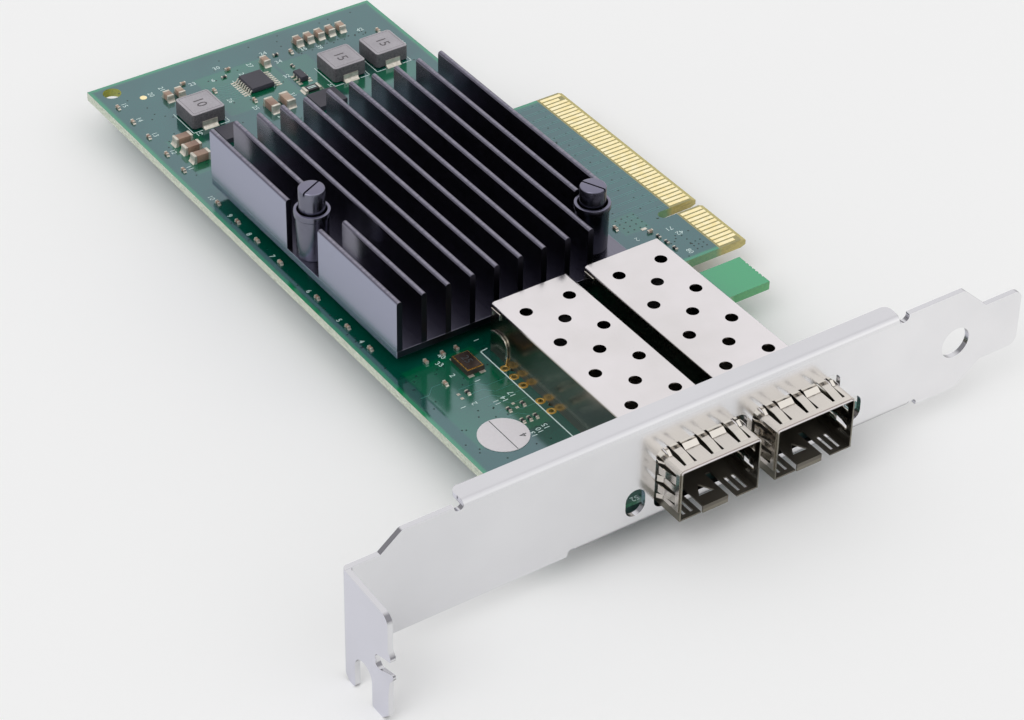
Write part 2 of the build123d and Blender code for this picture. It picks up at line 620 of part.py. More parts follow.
def folded_channel(centre, half, top, bend, front, back):
    """A box over the board between two ends of a cage, its upper edges rounded by a few facets."""
    turns = [k * pi / 2 / BEND_FACETS for k in range(BEND_FACETS + 1)]
    right = [(half - bend + bend * cos(a), top - bend + bend * sin(a)) for a in turns]
    left = [(-x, z) for x, z in reversed(right)]
    outline = [(half, BOARD_TOP)] + right + left + [(-half, BOARD_TOP)]
    return prism([(centre + x, front, z) for x, z in outline], (0, 1, 0), back - front)


def cage_shell(centre):
    """The folded top, sides and back of one cage, with vents, spring windows and press-in pins."""
    front, back = -CAGE_PROTRUSION, CAGE_BACK
    top = BOARD_TOP + CAGE_HEIGHT
    half = CAGE_WIDTH / 2
    outer = folded_channel(centre, half, top, CAGE_BEND, front, back)
    inner = folded_channel(centre, half - CAGE_WALL, top - CAGE_WALL, CAGE_BEND - CAGE_WALL,
                           front - CAGE_WALL, back - CAGE_WALL)
    shell = outer - inner
    low, high = top - CUT_REACH, top + CUT_REACH
    for row in range(VENT_ROWS):
        y = VENT_FIRST + row * VENT_SPACING
        for side in (-1, 1):
            shell -= bar(centre + side * VENT_SPREAD, y, low, high, VENT_RADIUS, VENT_SIDES)
        if row + 1 < VENT_ROWS:
            shell -= bar(centre, y + VENT_SPACING / 2, low, high, VENT_RADIUS, VENT_SIDES)
    width = FINGER_WIDTH + 2 * FINGER_SLOT
    start, end = finger_span()
    for i in (-1, 0, 1):
        x = centre + i * TOP_FINGER_PITCH
        shell -= block(x - width / 2, x + width / 2, start, end, low, high)
    for side in (-1, 1):
        wall = centre + side * half
        for z in SIDE_FINGER_HEIGHTS:
            shell -= block(wall - CUT_REACH, wall + CUT_REACH, start, end,
                           BOARD_TOP + z - width / 2, BOARD_TOP + z + width / 2)
    for x, y in cage_pin_places():
        if abs(x - centre) < CAGE_PITCH / 2:
            shell += slab(x, y, BOARD_LOW - CAGE_PIN_BELOW, CAGE_WALL, CAGE_PIN_WIDTH,
                          BOARD_THICKNESS + CAGE_PIN_BELOW + CAGE_WALL)
    return shell


def finger_span():
    """Where the bowed fingers start and end along the cage."""
    start = -CAGE_PROTRUSION + SPRING_FRONT + SPRING_ROOT
    return start, start + SPRING_LENGTH - 2 * SPRING_ROOT


def bowed_finger(width):
    """One bowed finger standing on level zero, centred on x, along y."""
    start, end = finger_span()
    middle, reach = (start + end) / 2, (end - start) / 2
    bow = [(middle + t * reach, SPRING_BOW * (1 - t * t)) for t in BOW_STATIONS]
    lower = [(-width / 2, y, z) for y, z in bow]
    upper = [(-width / 2, y, z + SPRING_SHEET) for y, z in reversed(bow)]
    return prism(lower + upper, (1, 0, 0), width)


def ridge(width):
    """One creased bar standing on level zero: up at the bracket, flat through it and down behind."""
    y = -CAGE_PROTRUSION + RIDGE_START
    rise = SPRING_BOW
    steps = [(y, 0), (y + RIDGE_RAMP, rise), (y + RIDGE_RAMP + RIDGE_FLAT, rise),
             (y + 2 * RIDGE_RAMP + RIDGE_FLAT, 0)]
    lower = [(-width / 2, a, b) for a, b in steps]
    upper = [(-width / 2, a, b + SPRING_SHEET) for a, b in reversed(steps)]
    return prism(lower + upper, (1, 0, 0), width)


def spring_strip(width, finger_offsets):
    """A flat run of the spring collar on level zero: roots, bowed fingers and creased bars between them."""
    front = -CAGE_PROTRUSION + SPRING_FRONT
    start, end = finger_span()
    gap = FINGER_WIDTH / 2 + FINGER_SLOT
    strip = block(-width / 2, width / 2, front, start, 0, SPRING_SHEET)
    strip += block(-width / 2, width / 2, end, front + SPRING_LENGTH, 0, SPRING_SHEET)
    for offset in finger_offsets:
        strip += Pos(offset, 0, 0) * bowed_finger(FINGER_WIDTH)
    edges = [-width / 2] + [o + s * gap for o in finger_offsets for s in (-1, 1)] + [width / 2]
    crease = -CAGE_PROTRUSION + RIDGE_START
    crease_end = crease + 2 * RIDGE_RAMP + RIDGE_FLAT
    for low, high in zip(edges[0::2], edges[1::2]):
        strip += block(low, high, start, crease, 0, SPRING_SHEET)
        strip += block(low, high, crease_end, end, 0, SPRING_SHEET)
        strip += Pos((low + high) / 2, 0, 0) * ridge(high - low)
    return strip


def spring_collar(centre):
    """The spring collar round one cage's mouth: a top run and two side runs joined at the bends."""
    top = BOARD_TOP + CAGE_HEIGHT + CAGE_FIT
    side = CAGE_WIDTH / 2 + CAGE_FIT
    front = -CAGE_PROTRUSION + SPRING_FRONT
    flat = CAGE_WIDTH - 2 * CAGE_BEND
    collar = Pos(centre, 0, top) * spring_strip(flat, [i * TOP_FINGER_PITCH for i in (-1, 0, 1)])
    low = SIDE_FINGER_HEIGHTS[-1] - FINGER_WIDTH / 2 - FINGER_SLOT - SPRING_ROOT
    high = CAGE_HEIGHT - CAGE_BEND
    middle = (low + high) / 2
    offsets = [z - middle for z in reversed(SIDE_FINGER_HEIGHTS)]
    for hand in (-1, 1):
        strip = spring_strip(high - low, offsets)
        collar += Pos(centre + hand * side, 0, BOARD_TOP + middle) * Rot(0, hand * 90, 0) * (
            mirror(strip, Plane.YZ) if hand > 0 else strip)
    outer = CAGE_BEND + CAGE_FIT + SPRING_SHEET
    turns = [k * pi / 2 / BEND_FACETS for k in range(BEND_FACETS + 1)]
    for hand in (-1, 1):
        x, z = centre + hand * (CAGE_WIDTH / 2 - CAGE_BEND), BOARD_TOP + CAGE_HEIGHT - CAGE_BEND
        ring = [(x + hand * outer * cos(a), front, z + outer * sin(a)) for a in turns]
        inner = outer - SPRING_SHEET
        ring += [(x + hand * inner * cos(a), front, z + inner * sin(a)) for a in reversed(turns)]
        collar += prism(ring, (0, 1, 0), SPRING_LENGTH)
    return collar


def cage_floor(centre):
    """The cage's floor, with slots, a latch tongue, its triangular hole and its rolled lip."""
    front = -CAGE_PROTRUSION
    half = CAGE_WIDTH / 2 - CAGE_WALL - CAGE_FIT
    level, top = BOARD_TOP, BOARD_TOP + CAGE_WALL
    back = CAGE_BACK - CAGE_WALL - CONNECTOR_BACK_GAP - CONNECTOR_LENGTH - TERMINAL_THICKNESS
    plate = block(centre - half, centre + half, front, back - 4 * TERMINAL_FIT - SHEET, level, top)
    slot_end = front + LATCH_SLOT_LENGTH
    for side in (-1, 1):
        x = centre + side * (LATCH_WIDTH + LATCH_SLOT) / 2
        plate -= slab(x, (front + slot_end) / 2 - SHEET, level - SHEET, LATCH_SLOT,
                      LATCH_SLOT_LENGTH + 2 * SHEET, 3 * SHEET)
        for offset in PANEL_SLOT_OFFSETS:
            plate -= slab(centre + side * offset, front + PANEL_SLOT_START + PANEL_SLOT_LENGTH / 2,
                          level - SHEET, PANEL_SLOT_WIDTH, PANEL_SLOT_LENGTH, 3 * SHEET)
    lip_y = front + LATCH_SHORTENING
    plate -= block(centre - LATCH_WIDTH / 2 - CAGE_WALL, centre + LATCH_WIDTH / 2 + CAGE_WALL,
                   front - SHEET, lip_y, level - SHEET, top + SHEET)
    lip = block(centre - LATCH_WIDTH / 2, centre + LATCH_WIDTH / 2, lip_y, lip_y + CAGE_WALL,
                level - LATCH_LIP, top)
    plate += lip
    apex = front + LATCH_HOLE_START + LATCH_HOLE_LENGTH
    base = front + LATCH_HOLE_START
    hole = prism([(centre - LATCH_HOLE_WIDTH / 2, base, level - SHEET),
                  (centre + LATCH_HOLE_WIDTH / 2, base, level - SHEET), (centre, apex, level - SHEET)],
                 (0, 0, 1), 3 * SHEET)
    return plate - hole


def terminal_offsets():
    """Offsets of the connector's terminals from its centre."""
    return [(i - (TERMINAL_COUNT - 1) / 2) * TERMINAL_PITCH for i in range(TERMINAL_COUNT)]


def connector_span():
    """Front and back of the host connector's housing."""
    back = CAGE_BACK - CAGE_WALL - CONNECTOR_BACK_GAP
    return back - CONNECTOR_LENGTH, back


def connector_housing(centre):
    """The host connector's moulded body, with its card slot and the grooves for both rows of terminals."""
    front, back = connector_span()
    body = block(centre - CONNECTOR_WIDTH / 2, centre + CONNECTOR_WIDTH / 2, front, back,
                 BOARD_TOP, BOARD_TOP + CONNECTOR_HEIGHT)
    body = chamfer(body.edges().filter_by(Axis.X).group_by(Axis.Y)[0].group_by(Axis.Z)[-1],
                   CONNECTOR_HEIGHT / 5)
    sill = BOARD_TOP + CARD_SLOT_SILL
    roof = sill + CARD_SLOT_HEIGHT
    half = CARD_SLOT_WIDTH / 2
    body -= block(centre - half, centre + half, front - SHEET, front + CARD_SLOT_DEPTH, sill, roof)
    groove = TERMINAL_THICKNESS + TERMINAL_FIT
    wide = TERMINAL_WIDTH + 2 * TERMINAL_FIT
    for offset in terminal_offsets():
        x = centre + offset
        body -= block(x - wide / 2, x + wide / 2, front - SHEET, back + SHEET, roof, roof + groove)
    reach = terminal_offsets()[-1] + wide / 2
    body -= block(centre - reach, centre + reach, front - SHEET, front + CARD_SLOT_DEPTH, sill - groove, sill)
    return body


def connector_terminals(centre):
    """Both rows of terminals: the upper row comes down behind the housing, the lower row in front of it."""
    front, back = connector_span()
    sill = BOARD_TOP + CARD_SLOT_SILL
    roof = sill + CARD_SLOT_HEIGHT
    sheet, fit = TERMINAL_THICKNESS, TERMINAL_FIT
    pieces = []
    for offset in terminal_offsets():
        x0, x1 = centre + offset - TERMINAL_WIDTH / 2, centre + offset + TERMINAL_WIDTH / 2
        upper = block(x0, x1, front + fit, back + fit + sheet, roof, roof + sheet)
        upper += block(x0, x1, back + fit, back + fit + sheet, BOARD_TOP, roof + sheet)
        lower = block(x0, x1, front - fit - sheet, front + CARD_SLOT_DEPTH - fit, sill - sheet, sill)
        lower += block(x0, x1, front - fit - sheet, front - fit, BOARD_TOP, sill)
        pieces += [upper, lower]
    return pieces


def fixing_screws():
    """The two pan-head screws that hold the board to the bracket."""
    screws = []
    for x in FIXING_X:
        head = bar(x, FIXING_Y, BOARD_TOP, BOARD_TOP + SCREW_HEAD_HEIGHT, SCREW_HEAD_RADIUS, SCREW_SIDES)
        head = chamfer(head.edges().group_by(Axis.Z)[-1], SCREW_HEAD_HEIGHT / 2)
        screw = head + bar(x, FIXING_Y, -SCREW_TIP, BOARD_TOP, SCREW_RADIUS, SCREW_SIDES)
        drive_low = BOARD_TOP + SCREW_HEAD_HEIGHT - DRIVE_DEPTH
        screw -= slab(x, FIXING_Y, drive_low, DRIVE_SPAN, DRIVE_WIDTH, 2 * DRIVE_DEPTH)
        screw -= slab(x, FIXING_Y, drive_low, DRIVE_WIDTH, DRIVE_SPAN, 2 * DRIVE_DEPTH)
        screws.append(screw)
    return screws


def heat_sink():
    """The extruded heat sink: a base and round-topped fins, cleared round both push pins."""
    body = block(SINK_X, SINK_X + SINK_WIDTH, SINK_Y, SINK_Y + SINK_LENGTH, SINK_LOW, SINK_FLOOR)
    radius = FIN_THICKNESS / 2
    shoulder = SINK_FLOOR + FIN_HEIGHT - radius
    turns = [k * pi / FIN_CROWN_FACETS for k in range(FIN_CROWN_FACETS + 1)]
    for i in range(FIN_COUNT):
        x = SINK_X + i * FIN_PITCH
        crown = [(x + radius * (1 - cos(a)), SINK_Y, shoulder + radius * sin(a)) for a in turns]
        fin = prism([(x, SINK_Y, SINK_FLOOR)] + crown + [(x + FIN_THICKNESS, SINK_Y, SINK_FLOOR)],
                    (0, 1, 0), SINK_LENGTH)
        if i in FIN_CUTS:
            start, end = FIN_CUTS[i]
            fin -= block(x - radius, x + 3 * radius, start, end, SINK_FLOOR, shoulder + 2 * radius)
        body += fin
    for x, y in PIN_PLACES.values():
        body -= bar(x, y, SINK_LOW - SHEET, SINK_FLOOR + SHEET, SINK_HOLE_RADIUS, SHAFT_SIDES)
    return body


def pin_sleeve(side):
    """The tapered cup that stands on the heat sink's base and holds the spring."""
    x, y = PIN_PLACES[side]
    high = SINK_FLOOR + SLEEVE_HEIGHT
    cup = bar(x, y, SINK_FLOOR, high, SLEEVE_FOOT_RADIUS, CUP_SIDES, SLEEVE_TOP_RADIUS)
    cup -= bar(x, y, SINK_FLOOR + SLEEVE_FLOOR, high + SHEET, SLEEVE_BORE, CUP_SIDES)
    return cup - bar(x, y, SINK_FLOOR - SHEET, high, SINK_HOLE_RADIUS, SHAFT_SIDES)


def plunger_low(side):
    """The level of the underside of a plunger's head."""
    return SINK_FLOOR + SLEEVE_HEIGHT + PIN_STAND[side] - PLUNGER_LENGTH


def pin_plunger(side):
    """The slotted plunger: a head in the sleeve, a shaft through the board and a split, barbed tip."""
    x, y = PIN_PLACES[side]
    low, high = plunger_low(side), plunger_low(side) + PLUNGER_LENGTH
    head = bar(x, y, low, high, PLUNGER_RADIUS, CUP_SIDES)
    head = chamfer(head.edges().group_by(Axis.Z)[-1], PLUNGER_SLOT_DEPTH / 4)
    slot = Pos(x, y, high - PLUNGER_SLOT_DEPTH) * Rot(0, 0, PIN_SLOT_TURN[side]) * Box(
        3 * PLUNGER_RADIUS, PLUNGER_SLOT_WIDTH, 2 * PLUNGER_SLOT_DEPTH, align=CENTRED)
    barb_top = BOARD_LOW - BARB_GAP
    barb = bar(x, y, barb_top - BARB_LENGTH, barb_top, SHAFT_RADIUS / 2, SHAFT_SIDES, BARB_RADIUS)
    pin = head - slot + bar(x, y, barb_top - BARB_LENGTH / 2, low, SHAFT_RADIUS, SHAFT_SIDES) + barb
    split = slab(x, y, barb_top - 2 * BARB_LENGTH, 3 * BARB_RADIUS, BARB_SPLIT, 2 * BARB_LENGTH)
    return pin - split


def pin_spring(side):
    """The coil spring between the sleeve's floor and the plunger's head."""
    x, y = PIN_PLACES[side]
    low = SINK_FLOOR + SLEEVE_FLOOR + SPRING_SEAT_GAP + SPRING_WIRE
    rise = plunger_low(side) - SPRING_SEAT_GAP - SPRING_WIRE - low
    count = int(SPRING_TURNS * COIL_FACETS)
    angles = [2 * pi * k / COIL_FACETS for k in range(count + 1)]
    stations = [
        (x + SPRING_COIL_RADIUS * cos(a), y + SPRING_COIL_RADIUS * sin(a), low + rise * k / count)
        for k, a in enumerate(angles)
    ]
    path = Polyline(*stations)
    section = Plane(origin=path @ 0, z_dir=path % 0) * Rectangle(SPRING_WIRE, SPRING_WIRE)
    return sweep(section, path=path, transition=Transition.RIGHT)


def solder_joints():
    """The grid of joints under the controller chip."""
    reach = (JOINT_ROWS - 1) / 2
    joints = []
    for row in range(JOINT_ROWS):
        for column in range(JOINT_ROWS):
            x = CHIP_X + (column - reach) * JOINT_PITCH
            y = CHIP_Y + (row - reach) * JOINT_PITCH
            joints.append(slab(x, y, BOARD_TOP, JOINT_WIDTH, JOINT_WIDTH, JOINT_HEIGHT))
    return joints


def inductor_body(place):
    """A moulded inductor's block with rounded corners, standing on its terminal feet."""
    x, y = place
    depth = INDUCTOR_DEPTH - 2 * TERMINAL_PLATE
    body = slab(x, y, BOARD_TOP + TERMINAL_PLATE, INDUCTOR_WIDTH, depth, INDUCTOR_HEIGHT - TERMINAL_PLATE)
    body = chamfer(body.edges().filter_by(Axis.Z), INDUCTOR_CORNER)
    return chamfer(body.faces().sort_by(Axis.Z)[-1].edges(), INDUCTOR_TOP_CORNER)


def inductor_terminals(place):
    """The two folded terminal plates of an inductor."""
    x, y = place
    plates = []
    for side in (-1, 1):
        face = y + side * (INDUCTOR_DEPTH / 2 - TERMINAL_PLATE / 2)
        foot = y + side * (INDUCTOR_DEPTH / 2 - TERMINAL_PLATE_FOOT / 2)
        plate = slab(x, face, BOARD_TOP, TERMINAL_PLATE_WIDTH, TERMINAL_PLATE, TERMINAL_PLATE_RISE)
        plate += slab(x, foot, BOARD_TOP, TERMINAL_PLATE_WIDTH, TERMINAL_PLATE_FOOT, TERMINAL_PLATE)
        plates.append(plate)
    return plates


def leaded_body(x, y, width, length, thickness):
    """A moulded chip body with drafted sides, standing a little above the board."""
    half = thickness / 2
    draft = thickness * MOULD_DRAFT_SHARE
    middle = BOARD_TOP + REGULATOR_STAND + half
    lower = loft([
        Pos(x, y, middle - half) * Rectangle(width - 2 * draft, length - 2 * draft),
        Pos(x, y, middle) * Rectangle(width, length),
    ], ruled=True)
    upper = loft([
        Pos(x, y, middle) * Rectangle(width, length),
        Pos(x, y, middle + half) * Rectangle(width - 2 * draft, length - 2 * draft),
    ], ruled=True)
    return lower + upper


def gull_leads(x, y, width, thickness, span, pitch, lead_width, count):
    """Gull-wing leads along both long sides of a leaded body."""
    middle = BOARD_TOP + REGULATOR_STAND + thickness / 2
    sheet = LEAD_THICKNESS
    inner, outer = width / 2, span / 2
    knee = outer - LEAD_FOOT
    bend = (inner + knee) / 2
    leads = []
    for side in (-1, 1):
        for i in range(count):
            start = y + (i - (count - 1) / 2) * pitch - lead_width / 2
            shape = [(inner, middle + sheet / 2), (bend, middle + sheet / 2), (knee, BOARD_TOP + sheet),
                     (outer, BOARD_TOP + sheet), (outer, BOARD_TOP), (knee - sheet / 2, BOARD_TOP),
                     (bend - sheet / 2, middle - sheet / 2), (inner, middle - sheet / 2)]
            leads.append(prism([(x + side * a, start, b) for a, b in shape], (0, 1, 0), lead_width))
    return leads


def chip_pieces(places, size, along_x=False):
    """Bodies and end caps of a group of chip capacitors or resistors."""
    length, width, height, cap = size
    bodies, ends = [], []
    for x, y in places:
        core = length - 2 * cap
        reach = (length - cap) / 2
        if along_x:
            bodies.append(slab(x, y, BOARD_TOP, core, width, height))
            ends += [slab(x + s * reach, y, BOARD_TOP, cap, width, height) for s in (-1, 1)]
        else:
            bodies.append(slab(x, y, BOARD_TOP, width, core, height))
            ends += [slab(x, y + s * reach, BOARD_TOP, width, cap, height) for s in (-1, 1)]
    return bodies, ends


def write(name, pieces):
    """Move a node's solids into the card's own frame and write them as one file."""
    solids = []
    for piece in pieces if isinstance(pieces, list) else [pieces]:
        solids += piece.solids()
    moved = [Pos(-ORIGIN.X, -ORIGIN.Y, -ORIGIN.Z) * solid for solid in solids]
    export_step(moved[0] if len(moved) == 1 else Compound(children=moved), f"parts/{name}.step")


def main():
    os.makedirs("parts", exist_ok=True)
    write("bracket", bracket())
    write("board", board())
    write("edge_contacts", edge_contacts())
    write("plated_holes", plated_holes())
    write("bracket_screws", fixing_screws())

    for side, centre in CAGE_CENTRES.items():
        write(f"{side}_cage_shell", cage_shell(centre))
        write(f"{side}_cage_floor", cage_floor(centre))
        write(f"{side}_spring_collar", spring_collar(centre))
        write(f"{side}_connector_housing", connector_housing(centre))
        write(f"{side}_connector_terminals", connector_terminals(centre))

    write("controller_joints", solder_joints())
    substrate = BOARD_TOP + JOINT_HEIGHT
    cap = substrate + SUBSTRATE_THICKNESS
    write("controller_substrate", slab(CHIP_X, CHIP_Y, substrate, CHIP_SIZE, CHIP_SIZE, SUBSTRATE_THICKNESS))
    write("controller_cap", slab(CHIP_X, CHIP_Y, cap, CHIP_CAP_SIZE, CHIP_CAP_SIZE, CAP_THICKNESS))
    write("thermal_pad",
          slab(CHIP_X, CHIP_Y, cap + CAP_THICKNESS, CHIP_CAP_SIZE, CHIP_CAP_SIZE, PAD_THICKNESS))
    write("heat_sink", heat_sink())
    for side in PIN_PLACES:
        write(f"{side}_pin_sleeve", pin_sleeve(side))
        write(f"{side}_pin_plunger", pin_plunger(side))
        write(f"{side}_pin_spring", pin_spring(side))

    for name, place in INDUCTOR_PLACES.items():
        write(f"{name}_inductor_body", inductor_body(place))
        write(f"{name}_inductor_terminals", inductor_terminals(place))

    write("regulator_body", leaded_body(REGULATOR_X, REGULATOR_Y, REGULATOR_WIDTH, REGULATOR_LENGTH,
                                        REGULATOR_THICKNESS))
    write("regulator_leads", gull_leads(REGULATOR_X, REGULATOR_Y, REGULATOR_WIDTH, REGULATOR_THICKNESS,
                                        LEAD_SPAN, LEAD_PITCH, LEAD_WIDTH, LEADS_PER_SIDE))
    write("switch_body", leaded_body(SWITCH_X, SWITCH_Y, SWITCH_WIDTH, SWITCH_LENGTH, REGULATOR_THICKNESS))
    write("switch_leads", gull_leads(SWITCH_X, SWITCH_Y, SWITCH_WIDTH, REGULATOR_THICKNESS, SWITCH_SPAN,
                                     SWITCH_LEAD_PITCH, SWITCH_LEAD_WIDTH, SWITCH_LEADS_PER_SIDE))
    for name, (x, y, width, depth) in POWER_STAGES.items():
        write(f"{name}_power_stage", slab(x, y, BOARD_TOP, width, depth, POWER_STAGE_HEIGHT))

    write("crystal_case",
          slab(CRYSTAL_X, CRYSTAL_Y, BOARD_TOP, CRYSTAL_WIDTH, CRYSTAL_LENGTH, CRYSTAL_HEIGHT))
    write("crystal_lid", slab(CRYSTAL_X, CRYSTAL_Y, BOARD_TOP + CRYSTAL_HEIGHT,
                              CRYSTAL_WIDTH - 2 * CRYSTAL_LID_INSET, CRYSTAL_LENGTH - 2 * CRYSTAL_LID_INSET,
                              CRYSTAL_LID_THICKNESS))

    bulk = [(BULK_ROW_X, BULK_ROW_Y + i * BULK_ROW_PITCH) for i in range(BULK_ROW_COUNT)]
    bodies, ends = chip_pieces(bulk, LARGE_CHIP, along_x=True)
    pair_bodies, pair_ends = chip_pieces(BULK_PAIR, LARGE_CHIP)
    write("large_capacitor_bodies", bodies + pair_bodies)
    write("large_capacitor_ends", ends + pair_ends)

    output = [(OUTPUT_ROW_X + i * OUTPUT_ROW_PITCH, OUTPUT_ROW_Y) for i in range(OUTPUT_ROW_COUNT)]
    bodies, ends = chip_pieces(output + list(MEDIUM_PLACES), MEDIUM_CHIP)
    write("medium_capacitor_bodies", bodies)
    write("medium_capacitor_ends", ends)

    bodies, ends = chip_pieces([(EDGE_ROW_X, y) for y in EDGE_ROW_Y] + list(SMALL_PLACES), SMALL_CHIP)
    write("small_capacitor_bodies", bodies)
    write("small_capacitor_ends", ends)

    bodies, ends = chip_pieces([(SENSE_X, SENSE_Y)], FLAT_CHIP, along_x=True)
    write("sense_resistor_body", bodies)
    write("sense_resistor_ends", ends)

    bodies, ends = chip_pieces(TINY_PLACES, TINY_FLAT_CHIP)
    write("small_resistor_bodies", bodies)
    write("small_resistor_ends", ends)

    write("round_label", bar(LABEL_X, LABEL_Y, BOARD_TOP, BOARD_TOP + LABEL_THICKNESS, LABEL_RADIUS,
                             LABEL_SIDES))


main()
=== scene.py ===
"""Looks of a network interface card: finishes, fine pieces, floor, light and camera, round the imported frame.

Places are written in the card's own millimetres: x along the bracket from its screw tab, y from the bracket
into the card, z up from the bracket's lower edge. Every mesh is moved into the frame's metres in the end.
"""

import json
import math
import random

import bmesh
import bpy
from mathutils import Matrix, Vector


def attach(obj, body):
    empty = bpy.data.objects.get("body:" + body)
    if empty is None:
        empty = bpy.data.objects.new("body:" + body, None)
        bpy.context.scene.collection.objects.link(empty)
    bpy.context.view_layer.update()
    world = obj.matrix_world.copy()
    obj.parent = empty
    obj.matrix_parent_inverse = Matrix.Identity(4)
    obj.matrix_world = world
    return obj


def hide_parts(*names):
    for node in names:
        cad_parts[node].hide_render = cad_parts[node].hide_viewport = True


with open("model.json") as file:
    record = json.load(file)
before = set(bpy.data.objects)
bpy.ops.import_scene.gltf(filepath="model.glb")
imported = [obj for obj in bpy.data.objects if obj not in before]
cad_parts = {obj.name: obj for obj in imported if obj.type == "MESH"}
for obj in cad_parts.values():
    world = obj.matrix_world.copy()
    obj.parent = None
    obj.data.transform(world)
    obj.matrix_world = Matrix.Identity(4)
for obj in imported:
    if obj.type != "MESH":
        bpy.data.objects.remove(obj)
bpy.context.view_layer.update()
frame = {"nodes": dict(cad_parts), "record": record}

MM = 0.001
MICRON = 0.000001
CARD_ORIGIN = Vector((60.7, 65.535, -4.6))

# Levels
BOARD_LOW = 0.86
BOARD_TOP = 2.43
SINK_LOW = 4.45
SINK_FLOOR = 5.75
FIN_TOP = 14.95
CAGE_TOP = 11.46
FILM = 0.02

# Places in plan. An area is given by its first and last x and its first and last y.
BOARD_AREA = (35.75, 92.5, 1.9, 142.5)
CONTACT_AREA = (70.0, 104.65, 46.33, 98.53)
OPEN_FIELDS = ((52.8, 67.0, 122.5, 136.0), (67.5, 74.0, 119.5, 133.0), (73.0, 88.5, 116.5, 121.0),
               (39.4, 45.6, 110.2, 121.8), (38.5, 51.5, 24.5, 46.5), (88.6, 93.6, 57.2, 62.4))
FAR_HOLE_AREA = (37.4, 41.0, 138.1, 141.7)
HOOK_START, HOOK_FAR = 92.6, 43.8
MASK_END = 99.25
BEVEL_START = 103.7
SINK_LEFT, SINK_WIDTH = 38.57, 45.2
SINK_NEAR, SINK_LENGTH = 47.6, 56.5
SCREW_PLACES = ((43.0, 6.0), (89.2, 6.0))
PUSH_PINS = {"left": (41.4, 76.8), "right": (79.5, 54.4)}
CAGE_CENTRES = {"left": 60.45, "right": 77.8}
CAGE_LINING = 6.95
CAGE_WALL = 7.2
INDUCTORS = {"input": (48.35, 125.2), "first_output": (76.1, 124.8), "second_output": (84.75, 124.85)}
EDGE_ROW = (135.2, 129.9, 124.4, 118.2, 112.5, 101.1, 94.7, 88.5, 81.2, 69.9, 60.8, 54.2)
UPPER_FOLD = (19.3, 96.9, 16.2, 20.0)

# Chip parts: length, width, height and the reach of each end
LARGE_CHIP = (3.2, 1.6, 1.5, 0.5)
MEDIUM_CHIP = (2.0, 1.25, 1.25, 0.4)
SMALL_CHIP = (1.0, 0.5, 0.5, 0.22)
SENSE_CHIP = (3.2, 1.6, 0.55, 0.5)
RESISTOR_CHIP = (1.0, 0.5, 0.35, 0.22)

# Degrees between faces: edges past the first are eased, and shading runs on up to the second
EASED_ANGLE = 38
SMOOTH_ANGLE = 32

random.seed(7)


def tone(red, green, blue):
    """A colour as read from a screen, 0 to 255, in the linear values that a shader takes."""
    levels = (c / 255 for c in (red, green, blue))
    return tuple(c / 12.92 if c <= 0.04045 else ((c + 0.055) / 1.055) ** 2.4 for c in levels) + (1.0,)


def darker(colour, share):
    """A colour with a share of its light taken away."""
    return tuple(c * (1 - share) for c in colour[:3]) + (1.0,)


# Shader maths

class Signal:
    """What varies over a surface. Arithmetic on it adds Math nodes, so it holds a number there."""

    def __init__(self, finish, socket):
        self.finish = finish
        self.socket = socket

    def maths(self, operation, *others):
        """One Math node on this number and others."""
        made = self.finish.node("ShaderNodeMath", {"operation": operation}, dict(enumerate((self, *others))))
        return Signal(self.finish, made.outputs[0])

    def __add__(self, other):
        return self.maths("ADD", other)

    __radd__ = __add__

    def __mul__(self, other):
        return self.maths("MULTIPLY", other)

    __rmul__ = __mul__

    def __sub__(self, other):
        return self.maths("SUBTRACT", other)

    def __rsub__(self, other):
        return self.maths("MULTIPLY", -1.0).maths("ADD", other)

    def __abs__(self):
        return self.maths("ABSOLUTE")

    def least(self, *others):
        """The least of this number and others."""
        found = self
        for other in others:
            found = found.maths("MINIMUM", other)
        return found

    def most(self, *others):
        """The most of this number and others."""
        found = self
        for other in others:
            found = found.maths("MAXIMUM", other)
        return found

    def between(self, low, high):
        """0 below low, 1 above high, and even in between."""
        made = self.finish.node("ShaderNodeMapRange", {"clamp": True},
                                {"Value": self, "From Min": low, "From Max": high})
        return Signal(self.finish, made.outputs["Result"])

    def past(self, start, ease=0.1):
        """0 up to a start, and 1 once it is passed by a little."""
        return self.between(start, start + ease)


